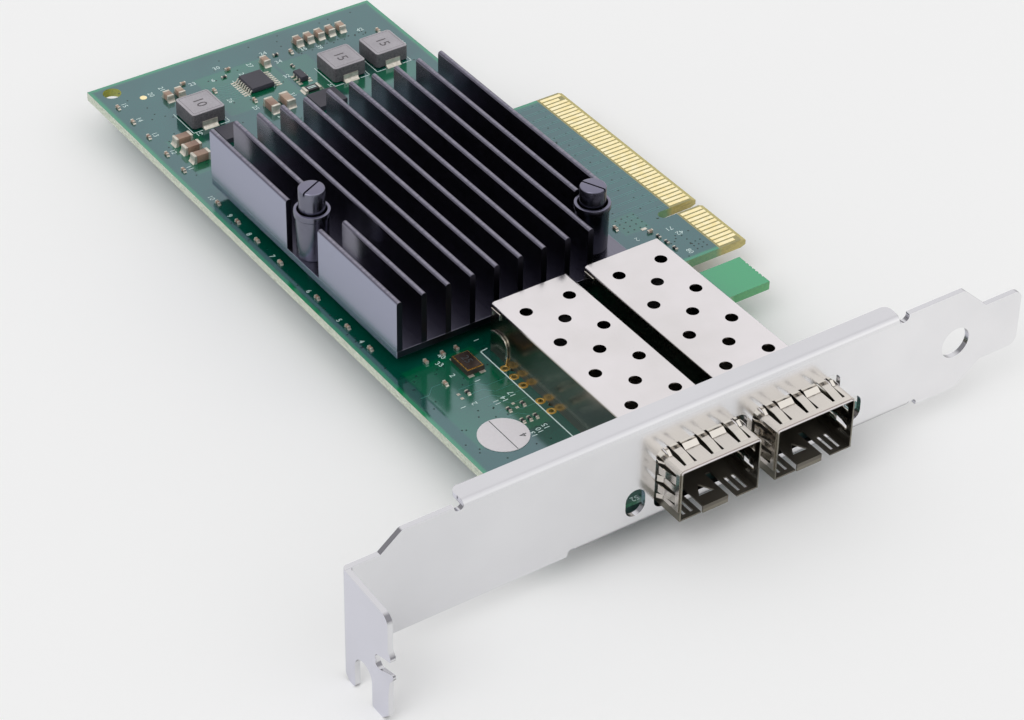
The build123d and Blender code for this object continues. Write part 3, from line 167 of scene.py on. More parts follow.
class Finish:
    """One procedural material, with its Principled shader ready."""

    def __init__(self, name, metallic=0.0, roughness=0.5, **sockets):
        self.material = bpy.data.materials.new(name)
        self.material.use_nodes = True
        self.tree = self.material.node_tree
        self.tree.nodes.clear()
        self.shader = self.node("ShaderNodeBsdfPrincipled", {},
                                {"Metallic": metallic, "Roughness": roughness})
        self.use(**sockets)
        self.node("ShaderNodeOutputMaterial", {}, {"Surface": Signal(self, self.shader.outputs["BSDF"])})
        place = self.node("ShaderNodeTexCoord")
        self.place = Signal(self, place.outputs["Object"])
        self.normal = Signal(self, place.outputs["Normal"])

    def node(self, kind, settings=None, sockets=None):
        """A node of any kind: its settings first, and then the values or links of its sockets."""
        made = self.tree.nodes.new(kind)
        for name, value in (settings or {}).items():
            if name == "stops":
                ramp = made.color_ramp
                for _ in range(len(value) - 2):
                    ramp.elements.new(0.5)
                for element, (position, colour) in zip(ramp.elements, value):
                    element.position = position
                    element.color = colour
            else:
                setattr(made, name, value)
        for name, value in (sockets or {}).items():
            self.feed(made.inputs[name], value)
        return made

    def feed(self, socket, value):
        """Links a socket to a signal, or sets its value."""
        if isinstance(value, Signal):
            self.tree.links.new(value.socket, socket)
        else:
            socket.default_value = value

    def use(self, **sockets):
        """Feeds the shader's own sockets, whose names are written with underscores."""
        for name, value in sockets.items():
            self.feed(self.shader.inputs[name.replace("_", " ")], value)
        return self

    def parts(self, vector):
        """The three numbers of a vector."""
        made = self.node("ShaderNodeSeparateXYZ", {}, {0: vector})
        return [Signal(self, made.outputs[i]) for i in range(3)]

    def card_place(self):
        """The place on the card, in its own millimetres."""
        return [p * (1 / MM) + o for p, o in zip(self.parts(self.place), CARD_ORIGIN)]

    def noise(self, scale, detail=3.0, roughness=0.55, vector=None):
        """Noise of a scale in cells per metre."""
        made = self.node("ShaderNodeTexNoise", {}, {
            "Vector": vector or self.place, "Scale": scale, "Detail": detail, "Roughness": roughness})
        return Signal(self, made.outputs["Fac"])

    def streaks(self, x, y, z, detail=4, roughness=0.6):
        """Noise with a scale of its own in each direction, for grain that runs one way."""
        made = self.node("ShaderNodeMapping", {}, {"Vector": self.place, "Scale": (x, y, z)})
        return self.noise(1.0, detail, roughness, Signal(self, made.outputs["Vector"]))

    def blend(self, share, first, second):
        """A colour between two, by a share from 0 to 1."""
        made = self.node("ShaderNodeMix", {"data_type": "RGBA"}, {0: share, 6: first, 7: second})
        return Signal(self, made.outputs[2])

    def mottled(self, noise, first, second, low=0.3, high=0.7):
        """A colour that drifts from one tone to another with a noise."""
        return self.blend(noise.between(low, high), first, second)

    def shades(self, noise, dark, middle, light):
        """A colour that passes through three tones with a noise."""
        stops = tuple(zip((0.35, 0.5, 0.65), (dark, middle, light)))
        made = self.node("ShaderNodeValToRGB", {"stops": stops}, {0: noise})
        return Signal(self, made.outputs["Color"])

    def relief(self, height, microns):
        """Fine relief: the height is from 0 to 1, and the depth is in thousandths of a millimetre."""
        made = self.node("ShaderNodeBump", {}, {"Height": height, "Distance": microns * MICRON})
        return self.use(Normal=Signal(self, made.outputs["Normal"]))


def area_depth(x, y, x0, x1, y0, y1):
    """How far inside an area a place lies, below 0 outside."""
    return (x - x0).least(x1 - x, y - y0, y1 - y)


# Finishes

MASK_SHEEN = {"IOR": 2.35, "Specular_Tint": (0.66, 0.82, 1.0, 1.0)}


def solder_mask():
    """Glossy green mask over copper planes and laminate, with glass-fibre edges and a bare card edge; the
    board's end behind the bracket is painted darker as shade.
    """
    f = Finish("solder_mask", **MASK_SHEEN)
    x, y, _ = f.card_place()
    wander, drift, speckle = f.noise(90, 2), f.noise(900, 2) * 0.25, f.noise(2400, 3, 0.7)
    layers = f.streaks(600, 600, 9000, 2)
    inside = area_depth(x, y, *BOARD_AREA).most(area_depth(x, y, *CONTACT_AREA))
    first, *others = [area_depth(x, y, *field) for field in OPEN_FIELDS]
    bare = first.most(*others)
    hook = x.past(HOOK_START) * (1 - y.past(HOOK_FAR, 0.2))
    beyond_hook = y.past(44.0, 0.2)

    copper = (inside + drift).between(0.65, 1.15) * (1 - (bare + drift).between(0.0, 0.4) * 0.7)
    over_plane = f.mottled(wander, tone(0, 68, 54), tone(6, 80, 66), 0.35)
    over_laminate = f.mottled(wander, tone(0, 92, 56), tone(4, 106, 68))
    open_laminate = f.mottled(wander, tone(0, 128, 74), tone(8, 138, 82))
    open_laminate = f.blend(hook, open_laminate, tone(0, 156, 72))
    # Painted shade: before y 2.9, by the bracket, the pale edge band gives way to the darker laminate tone
    laminate_with_painted_end_shade = f.blend((inside - y.past(2.9, 0.2) + 1).between(0.35, 0.95), open_laminate, over_laminate)
    masked = f.blend(copper, laminate_with_painted_end_shade, over_plane)

    fibre = f.shades(layers * 0.5 + speckle * 0.5, tone(146, 150, 128), tone(192, 196, 172),
                     tone(222, 224, 206))
    resin = f.shades(layers * 0.6 + speckle * 0.4, tone(158, 138, 50), tone(190, 168, 68), tone(210, 190, 98))
    green_side = f.mottled(speckle, tone(86, 138, 84), tone(132, 166, 104))
    green_side = f.blend(hook, green_side, f.mottled(speckle, tone(58, 150, 74), tone(96, 172, 84)))
    contact_end = x.past(98.6, 1.4) * beyond_hook
    cut_side = f.blend(x.past(92.4, 1.0), fibre, f.blend(contact_end, green_side, resin))
    # Painted shade: the cut side before y 2.1, behind the bracket, is painted dark green
    painted_end_shade = 1 - y.past(2.1)
    cut_side = f.blend(painted_end_shade, cut_side, tone(14, 62, 44))
    far_hole = area_depth(x, y, *FAR_HOLE_AREA).past(0.0, 0.05)
    cut_side = f.blend(far_hole, cut_side, f.mottled(speckle, tone(138, 142, 10), tone(178, 176, 30)))

    side = 1 - abs(f.parts(f.normal)[2]).between(0.25, 0.6)
    unmasked = x.past(MASK_END) * beyond_hook
    colour = f.blend(unmasked, masked, f.mottled(speckle, tone(138, 126, 56), tone(160, 146, 70)))
    colour = f.blend(side, colour, cut_side)
    bevel = x.past(BEVEL_START) * (1 - side * 0.5)
    colour = f.blend(bevel, colour, f.mottled(speckle, tone(172, 154, 58), tone(198, 180, 84)))
    ripple = f.noise(260, 2) * 0.5 + f.noise(1400, 2) * 0.2
    bare_edge = side.most(unmasked)
    f.use(Base_Color=colour, Roughness=0.1 + bare_edge * 0.5 + wander * 0.05)
    return f.relief(ripple + copper * 1.2 + speckle * bare_edge, 12)


def masked_trace():
    """The same glossy mask where it rides over a trace, a little paler."""
    f = Finish("masked_trace", roughness=0.12, **MASK_SHEEN)
    return f.use(Base_Color=f.mottled(f.noise(700, 2), tone(40, 104, 92), tone(58, 118, 104)))


def sheet_metal(name, colour, roughness, grain=(40, 40, 1200), scratches=0.25):
    """Plated sheet: an even tone, fine drawn grain, shallow pits and a few soft smears."""
    f = Finish(name, metallic=1.0)
    lines, smears, pits = f.streaks(*grain), f.noise(45, 3, 0.6), f.noise(2600, 2)
    f.use(Base_Color=f.mottled(smears, colour, darker(colour, 0.08), 0.3, 0.75),
          Roughness=roughness + lines * 0.05 + smears * 0.05)
    return f.relief(lines * scratches + pits * 0.4, 6)


def bracket_sheet():
    """Satin plating on the bracket, with painted light: a painted brightening along it, a painted cool
    reflection on the tab, a top painted a little darker, and painted dark lines where it bends or is cut.
    """
    f = Finish("satin_steel", metallic=1.0)
    x, _, z = f.card_place()
    across, along, up = f.parts(f.normal)
    lines, smears, pits = f.streaks(30, 1500, 30), f.noise(45, 3, 0.6), f.noise(2600, 2)
    # Painted light: the bracket grows brighter along x, standing in for the studio light
    colour = f.blend(x.between(20, 116), tone(226, 226, 228), tone(243, 242, 243))
    # Painted shade: faces that look up are painted a little darker
    colour = f.blend(up.between(0.6, 0.9), colour, tone(213, 212, 216))
    # Painted reflection: the tab's outer face, looking to -x, is painted a cool bluish grey
    colour = f.blend((across * -1).between(0.6, 0.9), colour, tone(216, 216, 226))
    colour = f.blend(smears.between(0.35, 0.8) * 0.3, colour, tone(196, 196, 200))
    # Painted shade: bends and eased cut edges, whose normals lie between the flats, are painted as dark lines;
    # the upper fold keeps most of its light as a painted bright line
    turned = 1 - abs(across).most(abs(along), abs(up)).between(0.86, 0.995)
    upper_fold = area_depth(x, z, *UPPER_FOLD).past(0.0)
    colour = f.blend(turned * (1 - upper_fold * 0.75), colour, tone(124, 123, 128))
    f.use(Base_Color=colour, Roughness=0.13 + lines * 0.05 + smears * 0.05)
    return f.relief(lines * 0.3 + pits * 0.4, 8)


def cage_sheet():
    """Bright tinned sheet on top of the cages, its walls painted darker below the top and rougher at their
    foot, and the linings inside the ports painted dark as shade.
    """
    f = Finish("bright_sheet", metallic=1.0)
    x, _, z = f.card_place()
    lines, smears, pits = f.streaks(1500, 40, 1500), f.noise(60, 3, 0.6), f.noise(2600, 2)
    # The openings of the two ports, in x and z: what lies inside them is painted dark as shade
    left, right = (area_depth(x, z, centre - CAGE_LINING, centre + CAGE_LINING, 2.0, 11.3)
                   for centre in CAGE_CENTRES.values())
    # Painted shade: the walls below the top edge are painted darker, standing in for the dark board they
    # reflect
    outer = f.blend(z.between(10.9, 11.2), tone(128, 124, 112), tone(226, 221, 223))
    outer = f.blend(smears.between(0.4, 0.75) * 0.25, outer, tone(176, 174, 166))
    inner = f.mottled(smears, tone(92, 88, 80), tone(126, 121, 112))
    f.use(Base_Color=f.blend(left.most(right).past(0.0, 0.05), outer, inner),
          Roughness=0.12 + lines * 0.06 + smears * 0.08 + (1 - z.between(BOARD_TOP - 0.03, 4.6)) * 0.3)
    return f.relief(lines * 0.15 + pits * 0.3, 5)


def gold_plate(name, light, dark):
    """Thin gold with wiping marks."""
    f = Finish(name, metallic=1.0)
    wiped = f.streaks(300, 2600, 300, 3)
    colour = f.mottled(f.noise(700, 3), light, dark, 0.35)
    return f.use(Base_Color=colour, Roughness=0.2 + wiped * 0.14).relief(wiped, 4)


def tinned():
    """Reflowed tin, warm and a little uneven."""
    f = Finish("tinned", metallic=0.6)
    flow = f.noise(1600, 2)
    colour = f.mottled(flow, tone(222, 217, 206), tone(192, 186, 174))
    return f.use(Base_Color=colour, Roughness=0.3 + flow * 0.15).relief(flow, 20)


def black_anodised():
    """Dyed aluminium: a dark mirror with a painted cool sheen on its two outer faces, black sawn ends, and
    crowns with fine cross marks and a painted highlight along their tops.
    """
    f = Finish("black_anodised", metallic=1.0)
    x, _, z = f.card_place()
    _, along_fin, up = f.parts(f.normal)
    drawn, cross_marks = f.streaks(5200, 60, 5200, 3), f.streaks(300, 4200, 300, 3, 0.7)
    crown = z.between(FIN_TOP - 0.42, FIN_TOP - 0.1)
    ends = abs(along_fin).between(0.6, 0.8)
    # Painted sheen: the two outer faces are painted a lighter, cooler grey, standing in for the light they
    # reflect
    outer = (1 - x.past(SINK_LEFT + 0.05, 0.08)).most(x.past(SINK_LEFT + SINK_WIDTH - 0.13, 0.08))
    face_tone_with_painted_sheen = f.blend(outer, tone(120, 118, 130), tone(154, 157, 176))
    face_tone_with_painted_sheen = f.blend(drawn.between(0.3, 0.75) * 0.1, face_tone_with_painted_sheen, tone(178, 180, 198))
    marked = f.mottled(cross_marks, tone(112, 110, 124), tone(158, 154, 168), 0.35)
    # Painted highlight: the crowns' slopes are painted dark, so only their tops keep the lighter marked tone
    marked = f.blend(up.between(0.7, 0.97), tone(74, 72, 84), marked)
    colour = f.blend(ends, f.blend(crown, face_tone_with_painted_sheen, marked), tone(50, 49, 58))
    f.use(Base_Color=colour, Roughness=0.2 + drawn * 0.05 + crown * 0.16 + ends * 0.1)
    return f.relief(drawn * 0.25 + cross_marks * crown * 0.8, 4)


def glossy_nylon():
    """Black nylon with a painted lilac sheen on top; the left pin is painted lighter as it stands in the
    light, the right one darker as shade among the fins.
    """
    f = Finish("glossy_nylon", metallic=1.0)
    specks = f.noise(900, 3, 0.6)
    # Painted highlight: faces that look up take a lighter lilac tone
    up = f.parts(f.normal)[2].between(0.3, 0.9)
    # Painted light and shade: lit and shaded copies of one nylon, the left pin lit, the right one in the fins'
    # shade
    left_pin_painted_lit = f.mottled(specks, tone(110, 111, 124), tone(117, 118, 131))
    right_pin_painted_shade = f.mottled(specks, tone(60, 60, 70), tone(66, 66, 76))
    colour = f.blend(f.card_place()[0].between(58.0, 62.0), left_pin_painted_lit, right_pin_painted_shade)
    colour = f.blend(up, colour, tone(122, 120, 138))
    return f.use(Base_Color=colour, Roughness=0.24 + specks * 0.02 + up * 0.08).relief(specks, 0.8)


def moulded(name, dark, light, roughness=0.5, grain=2400, microns=15):
    """Moulded plastic, ceramic or rubber, with a fine grain."""
    f = Finish(name)
    specks, clouds = f.noise(grain, 3, 0.6), f.noise(grain * 0.08, 2)
    colour = f.mottled(specks * 0.6 + clouds * 0.4, dark, light)
    return f.use(Base_Color=colour, Roughness=roughness + specks * 0.12).relief(specks, microns)


def inductor_powder():
    """Pressed iron powder: a paler upper face and darker sides, with grain."""
    f = Finish("inductor_powder", metallic=0.15)
    up = f.parts(f.normal)[2].between(0.25, 0.9)
    specks, clouds = f.noise(2600, 4, 0.7), f.noise(220, 2)
    side = f.mottled(specks, tone(66, 64, 68), tone(104, 102, 106))
    top = f.mottled(specks * 0.5 + clouds * 0.5, tone(150, 146, 152), tone(178, 174, 180))
    return f.use(Base_Color=f.blend(up, side, top), Roughness=0.42 + specks * 0.14).relief(specks, 30)


def capacitor_ceramic():
    """Tan ceramic whose tone differs from part to part."""
    f = Finish("capacitor_ceramic", roughness=0.38)
    specks = f.noise(3000, 3)
    colour = f.shades(f.noise(240, 1), tone(140, 112, 98), tone(160, 133, 116), tone(180, 156, 138))
    colour = f.blend(specks.between(0.35, 0.8) * 0.3, colour, tone(120, 94, 78))
    return f.use(Base_Color=colour).relief(specks, 8)


def paint(name, colour, roughness, mottle):
    """Printed or painted colour, slightly uneven."""
    f = Finish(name)
    spots = f.noise(1800, 3)
    return f.use(Base_Color=f.mottled(spots, colour, darker(colour, mottle), 0.35, 0.75),
                 Roughness=roughness + spots * 0.1).relief(spots, 4)


FINISHES = {
    "board_laminate": solder_mask(),
    "bracket_steel": bracket_sheet(),
    "cage_steel": cage_sheet(),
    "spring_steel": sheet_metal("spring_strip", tone(214, 208, 200), 0.1, (1500, 40, 1500), 0.12),
    "screw_steel": sheet_metal("screw_plate", tone(214, 213, 210), 0.2),
    "coil_steel": sheet_metal("drawn_wire", tone(170, 170, 172), 0.25),
    "gold": gold_plate("gold_plate", tone(255, 243, 202), tone(250, 231, 172)),
    "tin": tinned(),
    "black_anodised": black_anodised(),
    "dark_nylon": glossy_nylon(),
    "connector_resin": moulded("connector_resin", tone(14, 14, 15), tone(24, 24, 26), 0.45),
    "chip_resin": moulded("chip_resin", tone(44, 42, 52), tone(58, 56, 68), 0.45, 3200, 20),
    "chip_substrate": moulded("chip_substrate", tone(24, 70, 48), tone(30, 84, 56), 0.5),
    "gap_pad": moulded("gap_pad", tone(150, 152, 160), tone(166, 168, 176), 0.7),
    "inductor_composite": inductor_powder(),
    "capacitor_ceramic": capacitor_ceramic(),
    "resistor_ceramic": moulded("resistor_glaze", tone(26, 26, 30), tone(38, 38, 42), 0.35),
    "crystal_ceramic": moulded("crystal_ceramic", tone(44, 38, 34), tone(62, 54, 46), 0.35),
    "lid_metal": sheet_metal("crystal_lid", tone(112, 98, 88), 0.2),
    "label_paper": paint("label_paper", tone(222, 218, 222), 0.5, 0.04),
}
SILK = paint("silkscreen", tone(212, 232, 230), 0.6, 0.15)
WARM_GOLD = gold_plate("warm_gold", tone(255, 214, 120), tone(248, 190, 88))
MASKED_TRACE = masked_trace()
TENTED_VIA = paint("tented_via", tone(4, 46, 44), 0.25, 0.2)
INK = paint("dark_ink", tone(52, 58, 62), 0.6, 0.1)
MARK_INK = paint("mark_ink", tone(84, 80, 84), 0.5, 0.1)


# Mesh building

class Shape:
    """A mesh under construction, in the card's own millimetres."""

    def __init__(self):
        self.mesh = bmesh.new()

    def prism(self, outline, direction):
        """A closed outline in space, extruded along a direction."""
        low = [self.mesh.verts.new(p) for p in outline]
        high = [self.mesh.verts.new(Vector(p) + Vector(direction)) for p in outline]
        count = len(outline)
        made = [self.mesh.faces.new(low), self.mesh.faces.new(high)]
        made += [self.mesh.faces.new((low[i], low[(i + 1) % count], high[(i + 1) % count], high[i]))
                 for i in range(count)]
        bmesh.ops.recalc_face_normals(self.mesh, faces=made)
        return self

    def plate(self, outline, z0, z1):
        """A closed outline in plan, filled from one level to another."""
        return self.prism([(x, y, z0) for x, y in outline], (0, 0, z1 - z0))

    def block(self, x0, x1, y0, y1, z0, z1):
        """A block along the card's own directions."""
        return self.plate([(x0, y0), (x1, y0), (x1, y1), (x0, y1)], z0, z1)

    def pad(self, x, y, half_x, half_y, thickness):
        """A thin block on the board, given by its middle and half sizes."""
        return self.block(x - half_x, x + half_x, y - half_y, y + half_y, BOARD_TOP, BOARD_TOP + thickness)

    def turned(self, x, y, profile, sides=48):
        """A closed profile of radius and level pairs, turned about an upright axis."""
        angles = [2 * math.pi * k / sides for k in range(sides)]
        rings = [[self.mesh.verts.new((x + radius * math.cos(a), y + radius * math.sin(a), z))
                  for a in (angles if radius else angles[:1])] for radius, z in profile]
        made = []
        for lower, upper in zip(rings, rings[1:] + rings[:1]):
            if len(lower) == len(upper) == 1:
                continue
            for k in range(sides):
                n = (k + 1) % sides
                corners = [lower[k % len(lower)], lower[n % len(lower)],
                           upper[n % len(upper)], upper[k % len(upper)]]
                made.append(self.mesh.faces.new(list(dict.fromkeys(corners))))
        bmesh.ops.recalc_face_normals(self.mesh, faces=made)
        return self

    def solid_of(self, node):
        """A merged copy of a CAD node's mesh, with its flat faces joined up."""
        self.mesh.from_mesh(frame["nodes"][node].data)
        for vertex in self.mesh.verts:
            vertex.co = vertex.co / MM + CARD_ORIGIN
        bmesh.ops.remove_doubles(self.mesh, verts=self.mesh.verts, dist=0.0005)
        bmesh.ops.dissolve_limit(self.mesh, angle_limit=math.radians(1.0), verts=self.mesh.verts,
                                 edges=self.mesh.edges)
        return self

    def number(self, text, x, y, level, turn, size, height):
        """A raised number that starts at a place and reads along a turn in degrees."""
        curve = bpy.data.curves.new("number", "FONT")
        curve.body = text
        curve.size = size
        curve.extrude = height / 2
        curve.resolution_u = 2
        thing = bpy.data.objects.new("number", curve)
        bpy.context.scene.collection.objects.link(thing)
        data = bpy.data.meshes.new_from_object(thing.evaluated_get(bpy.context.evaluated_depsgraph_get()))
        turned = Matrix.Rotation(math.radians(turn), 4, "Z")
        data.transform(Matrix.Translation((x, y, level + height / 2)) @ turned)
        self.mesh.from_mesh(data)
        bpy.data.objects.remove(thing)
        bpy.data.meshes.remove(data)
        return self

    def stroke(self, points, width, height):
        """A flat line of even width on the board, along points in plan."""
        for (x0, y0), (x1, y1) in zip(points, points[1:]):
            along = Vector((x1 - x0, y1 - y0)).normalized()
            side = Vector((-along.y, along.x)) * width / 2
            self.plate([(x0 - side.x, y0 - side.y), (x1 - side.x, y1 - side.y), (x1 + side.x, y1 + side.y),
                        (x0 + side.x, y0 + side.y)], BOARD_TOP, BOARD_TOP + height)
        return self

    def thing(self, name):
        """The bare object, still in millimetres."""
        data = bpy.data.meshes.new(name)
        self.mesh.to_mesh(data)
        self.mesh.free()
        made = bpy.data.objects.new(name, data)
        bpy.context.scene.collection.objects.link(made)
        return made

    def piece(self, name, slot, replaces=(), finish=None, smooth=SMOOTH_ANGLE, edge=None, cutters=()):
        """The finished piece, on the frame's body, with its cut-outs made and its edges eased."""
        for face in self.mesh.faces:
            face.smooth = True
        made = self.thing(name)
        for cutter in cutters:
            cut = made.modifiers.new("cut", "BOOLEAN")
            cut.operation = "DIFFERENCE"
            cut.solver = "EXACT"
            cut.object = cutter
        if edge:
            ease_edges(made, edge)
            made.modifiers.new("true_flats", "WEIGHTED_NORMAL").weight = 100
        return settle(made, finish or FINISHES[slot], replaces, None if edge else smooth, cutters)


def ease_edges(thing, width):
    """Rounds a thing's sharp edges."""
    ease = thing.modifiers.new("edge", "BEVEL")
    ease.width = width
    ease.segments = 2
    ease.limit_method = "ANGLE"
    ease.angle_limit = math.radians(EASED_ANGLE)


def settle(made, finish, replaces, smooth, spent):
    """Applies what a thing's modifiers make, moves it into the frame and hangs it on its body."""
    view = bpy.context.evaluated_depsgraph_get()
    data = bpy.data.meshes.new_from_object(made.evaluated_get(view))
    made.modifiers.clear()
    made.data = data
    data.name = made.name
    data.transform(Matrix.Translation(-CARD_ORIGIN * MM) @ Matrix.Scale(MM, 4))
    data.materials.clear()
    data.materials.append(finish.material)
    data.polygons.foreach_set("material_index", [0] * len(data.polygons))
    if smooth:
        data.polygons.foreach_set("use_smooth", [True] * len(data.polygons))
        data.set_sharp_from_angle(angle=math.radians(smooth))
    for thing in spent:
        bpy.data.objects.remove(thing)
    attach(made, "root")
    if replaces:
        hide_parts(*replaces)
    return made


def repeating_tree():
    """Nodes that set one unit on every point, turned by the point, as one real mesh."""
    tree = bpy.data.node_groups.new("unit_on_points", "GeometryNodeTree")
    for name, kind in (("Geometry", "Geometry"), ("Unit", "Object"), ("Finish", "Material"),
                       ("Size", "Float")):
        tree.interface.new_socket(name, in_out="INPUT", socket_type="NodeSocket" + kind)
    tree.interface.new_socket("Geometry", in_out="OUTPUT", socket_type="NodeSocketGeometry")
    new, link = tree.nodes.new, tree.links.new
    start, end = new("NodeGroupInput"), new("NodeGroupOutput")
    unit, place = new("GeometryNodeObjectInfo"), new("GeometryNodeInstanceOnPoints")
    turn, real = new("GeometryNodeInputNamedAttribute"), new("GeometryNodeRealizeInstances")
    coat = new("GeometryNodeSetMaterial")
    turn.data_type = "FLOAT_VECTOR"
    turn.inputs["Name"].default_value = "turn"
    link(start.outputs["Geometry"], place.inputs["Points"])
    link(start.outputs["Unit"], unit.inputs["Object"])
    link(unit.outputs["Geometry"], place.inputs["Instance"])
    link(turn.outputs["Attribute"], place.inputs["Rotation"])
    link(start.outputs["Size"], place.inputs["Scale"])
    link(place.outputs["Instances"], real.inputs["Geometry"])
    link(real.outputs["Geometry"], coat.inputs["Geometry"])
    link(start.outputs["Finish"], coat.inputs["Material"])
    link(coat.outputs["Geometry"], end.inputs["Geometry"])
    return tree


REPEATING = repeating_tree()


def repeat(name, unit, places, slot, replaces=(), level=BOARD_TOP, finish=None, smooth=SMOOTH_ANGLE,
           edge=None):
    """One unit at many places on one level. A place is x, y and a turn in degrees."""
    finish = finish or FINISHES[slot]
    points = bpy.data.meshes.new(name)
    points.from_pydata([(x, y, level) for x, y, _ in places], [], [])
    turns = points.attributes.new("turn", "FLOAT_VECTOR", "POINT")
    for given, (_, _, turn) in zip(turns.data, places):
        given.vector = (0, 0, math.radians(turn))
    made = bpy.data.objects.new(name, points)
    bpy.context.scene.collection.objects.link(made)
    source = unit.thing(name + "_unit")
    if edge:
        ease_edges(source, edge)
    modifier = made.modifiers.new("repeat", "NODES")
    modifier.node_group = REPEATING
    sockets = {s.name: s.identifier for s in REPEATING.interface.items_tree if s.in_out == "INPUT"}
    modifier[sockets["Unit"]] = source
    modifier[sockets["Finish"]] = finish.material
    modifier[sockets["Size"]] = 1.0
    return settle(made, finish, replaces, smooth, (source,))


# Pieces

def arc(x, y, radius, start, end, steps):
    """Points along an arc in plan, angles in degrees."""
    turns = [math.radians(start + (end - start) * k / steps) for k in range(steps + 1)]
    return [(x + radius * math.cos(a), y + radius * math.sin(a)) for a in turns]


def post(radius, low, high):
    """The profile of a plain round post."""
    return [(0, low), (radius, low), (radius, high), (0, high)]


def dress_heat_sink():
    """The finned heat sink with round crowns, its bores cut for the push pins."""
    thickness, count = 1.0, 11
    pitch = (SINK_WIDTH - thickness) / (count - 1)
    cuts = {0: (70.45, 80.05), 1: (70.4, 83.0), 9: (SINK_NEAR, 57.75), 10: (SINK_NEAR, 57.75)}
    radius = thickness / 2
    crown = [(radius - radius * math.cos(a), FIN_TOP - radius + radius * math.sin(a))
             for a in (math.pi * k / 10 for k in range(11))]
    profile = [(0, SINK_FLOOR)] + crown + [(thickness, SINK_FLOOR)]

    def fin(shape, x, y0, y1):
        return shape.prism([(x + a, y0, z) for a, z in profile], (0, y1 - y0, 0))

    base = Shape().block(SINK_LEFT, SINK_LEFT + SINK_WIDTH, SINK_NEAR, SINK_NEAR + SINK_LENGTH, SINK_LOW,
                         SINK_FLOOR)
    bores = Shape()
    for x, y in PUSH_PINS.values():
        bores.turned(x, y, post(1.3, SINK_LOW - 1, SINK_FLOOR + 1))
    base.piece("heat_sink_base", "black_anodised", ("heat_sink",), edge=0.12,
               cutters=(bores.thing("pin_bores"),))
    whole = [(SINK_LEFT + i * pitch, SINK_NEAR, 0) for i in range(count) if i not in cuts]
    repeat("heat_sink_fins", fin(Shape(), 0, 0, SINK_LENGTH), whole, "black_anodised", level=0, smooth=40)
    short = Shape()
    for i, (start, end) in cuts.items():
        if start > SINK_NEAR:
            fin(short, SINK_LEFT + i * pitch, SINK_NEAR, start)
        fin(short, SINK_LEFT + i * pitch, end, SINK_NEAR + SINK_LENGTH)
    short.piece("heat_sink_cut_fins", "black_anodised", smooth=40)


def dress_push_pins():
    """Turned sleeves and slotted plungers in place of the faceted ones."""
    rim = SINK_FLOOR + 8.6
    barb = BOARD_LOW - 0.1
    for side, stand, turn in (("left", 4.0, 25.0), ("right", 3.1, 115.0)):
        x, y = PUSH_PINS[side]
        sleeve = [(1.3, SINK_FLOOR), (2.5, SINK_FLOOR), (2.62, SINK_FLOOR + 0.2), (2.76, rim - 1.2),
                  (2.98, rim - 0.95), (3.0, rim - 0.2), (2.94, rim - 0.06), (2.8, rim), (2.5, rim),
                  (2.43, rim - 0.1), (2.42, SINK_FLOOR + 0.8), (1.3, SINK_FLOOR + 0.8)]
        Shape().turned(x, y, sleeve, 64).piece(f"{side}_turned_sleeve", "dark_nylon", (f"{side}_pin_sleeve",),
                                               smooth=30)
        top = rim + stand
        low = top - 5.6
        plunger = [(0, -1.1), (0.6, -1.1), (1.6, 0.7), (1.6, barb), (1.15, barb), (1.15, low), (2.14, low),
                   (2.17, low + 0.1), (2.17, top - 0.28), (2.1, top - 0.12), (1.98, top - 0.03), (1.85, top),
                   (0, top)]
        slot = Shape().block(-3.2, 3.2, -0.16, 0.16, top - 0.6, top + 1).thing("driver_slot")
        slot.data.transform(Matrix.Translation((x, y, 0)) @ Matrix.Rotation(math.radians(turn), 4, "Z"))
        split = Shape().block(x - 2.5, x + 2.5, y - 0.25, y + 0.25, -2, barb).thing("tip_split")
        Shape().turned(x, y, plunger, 64).piece(f"{side}_turned_plunger", "dark_nylon",
                                                (f"{side}_pin_plunger",), smooth=30, cutters=(slot, split))


def dress_sheet_parts():
    """The folded sheets, the bracket with eased edges and the cages with truly round vents."""
    Shape().solid_of("bracket").piece("folded_bracket", "bracket_steel", ("bracket",), edge=0.17)
    first, pitch, spread = 11.9, 9.07, 4.0
    for side, centre in CAGE_CENTRES.items():
        places = [(centre + s * spread, first + pitch * row) for row in range(4) for s in (-1, 1)]
        places += [(centre, first + pitch * (row + 0.5)) for row in range(3)]
        vents = Shape()
        for x, y in places:
            vents.turned(x, y, post(1.03, CAGE_TOP - 0.8, CAGE_TOP + 0.8), 40)
        Shape().solid_of(f"{side}_cage_shell").piece(f"{side}_vented_shell", "cage_steel",
                                                     (f"{side}_cage_shell",), smooth=35,
                                                     cutters=(vents.thing("vent_cutters"),))


def inductor_block(x, y, top):
    """A pressed block with round corners and a raised rim line round its upper face."""
    half_x, half_y, radius = 3.2, 3.17, 0.6
    left, right = x - half_x + radius, x + half_x - radius
    near, far = y - half_y + radius, y + half_y - radius
    corners = ((right, far, 0), (left, far, 90), (left, near, 180), (right, near, 270))
    insets = ((0.06, BOARD_TOP + 0.2), (0.0, BOARD_TOP + 0.3), (0.0, top - 0.2), (0.06, top - 0.06),
              (0.18, top), (0.42, top), (0.46, top - 0.05), (0.54, top - 0.05), (0.58, top))
    shape = Shape()
    rings = [[shape.mesh.verts.new((px, py, z)) for cx, cy, start in corners
              for px, py in arc(cx, cy, radius - inset, start, start + 90, 6)] for inset, z in insets]
    count = len(rings[0])
    for lower, upper in zip(rings, rings[1:]):
        for k in range(count):
            n = (k + 1) % count
            shape.mesh.faces.new((lower[k], lower[n], upper[n], upper[k]))
    shape.mesh.faces.new(list(reversed(rings[0])))
    shape.mesh.faces.new(rings[-1])
    return shape


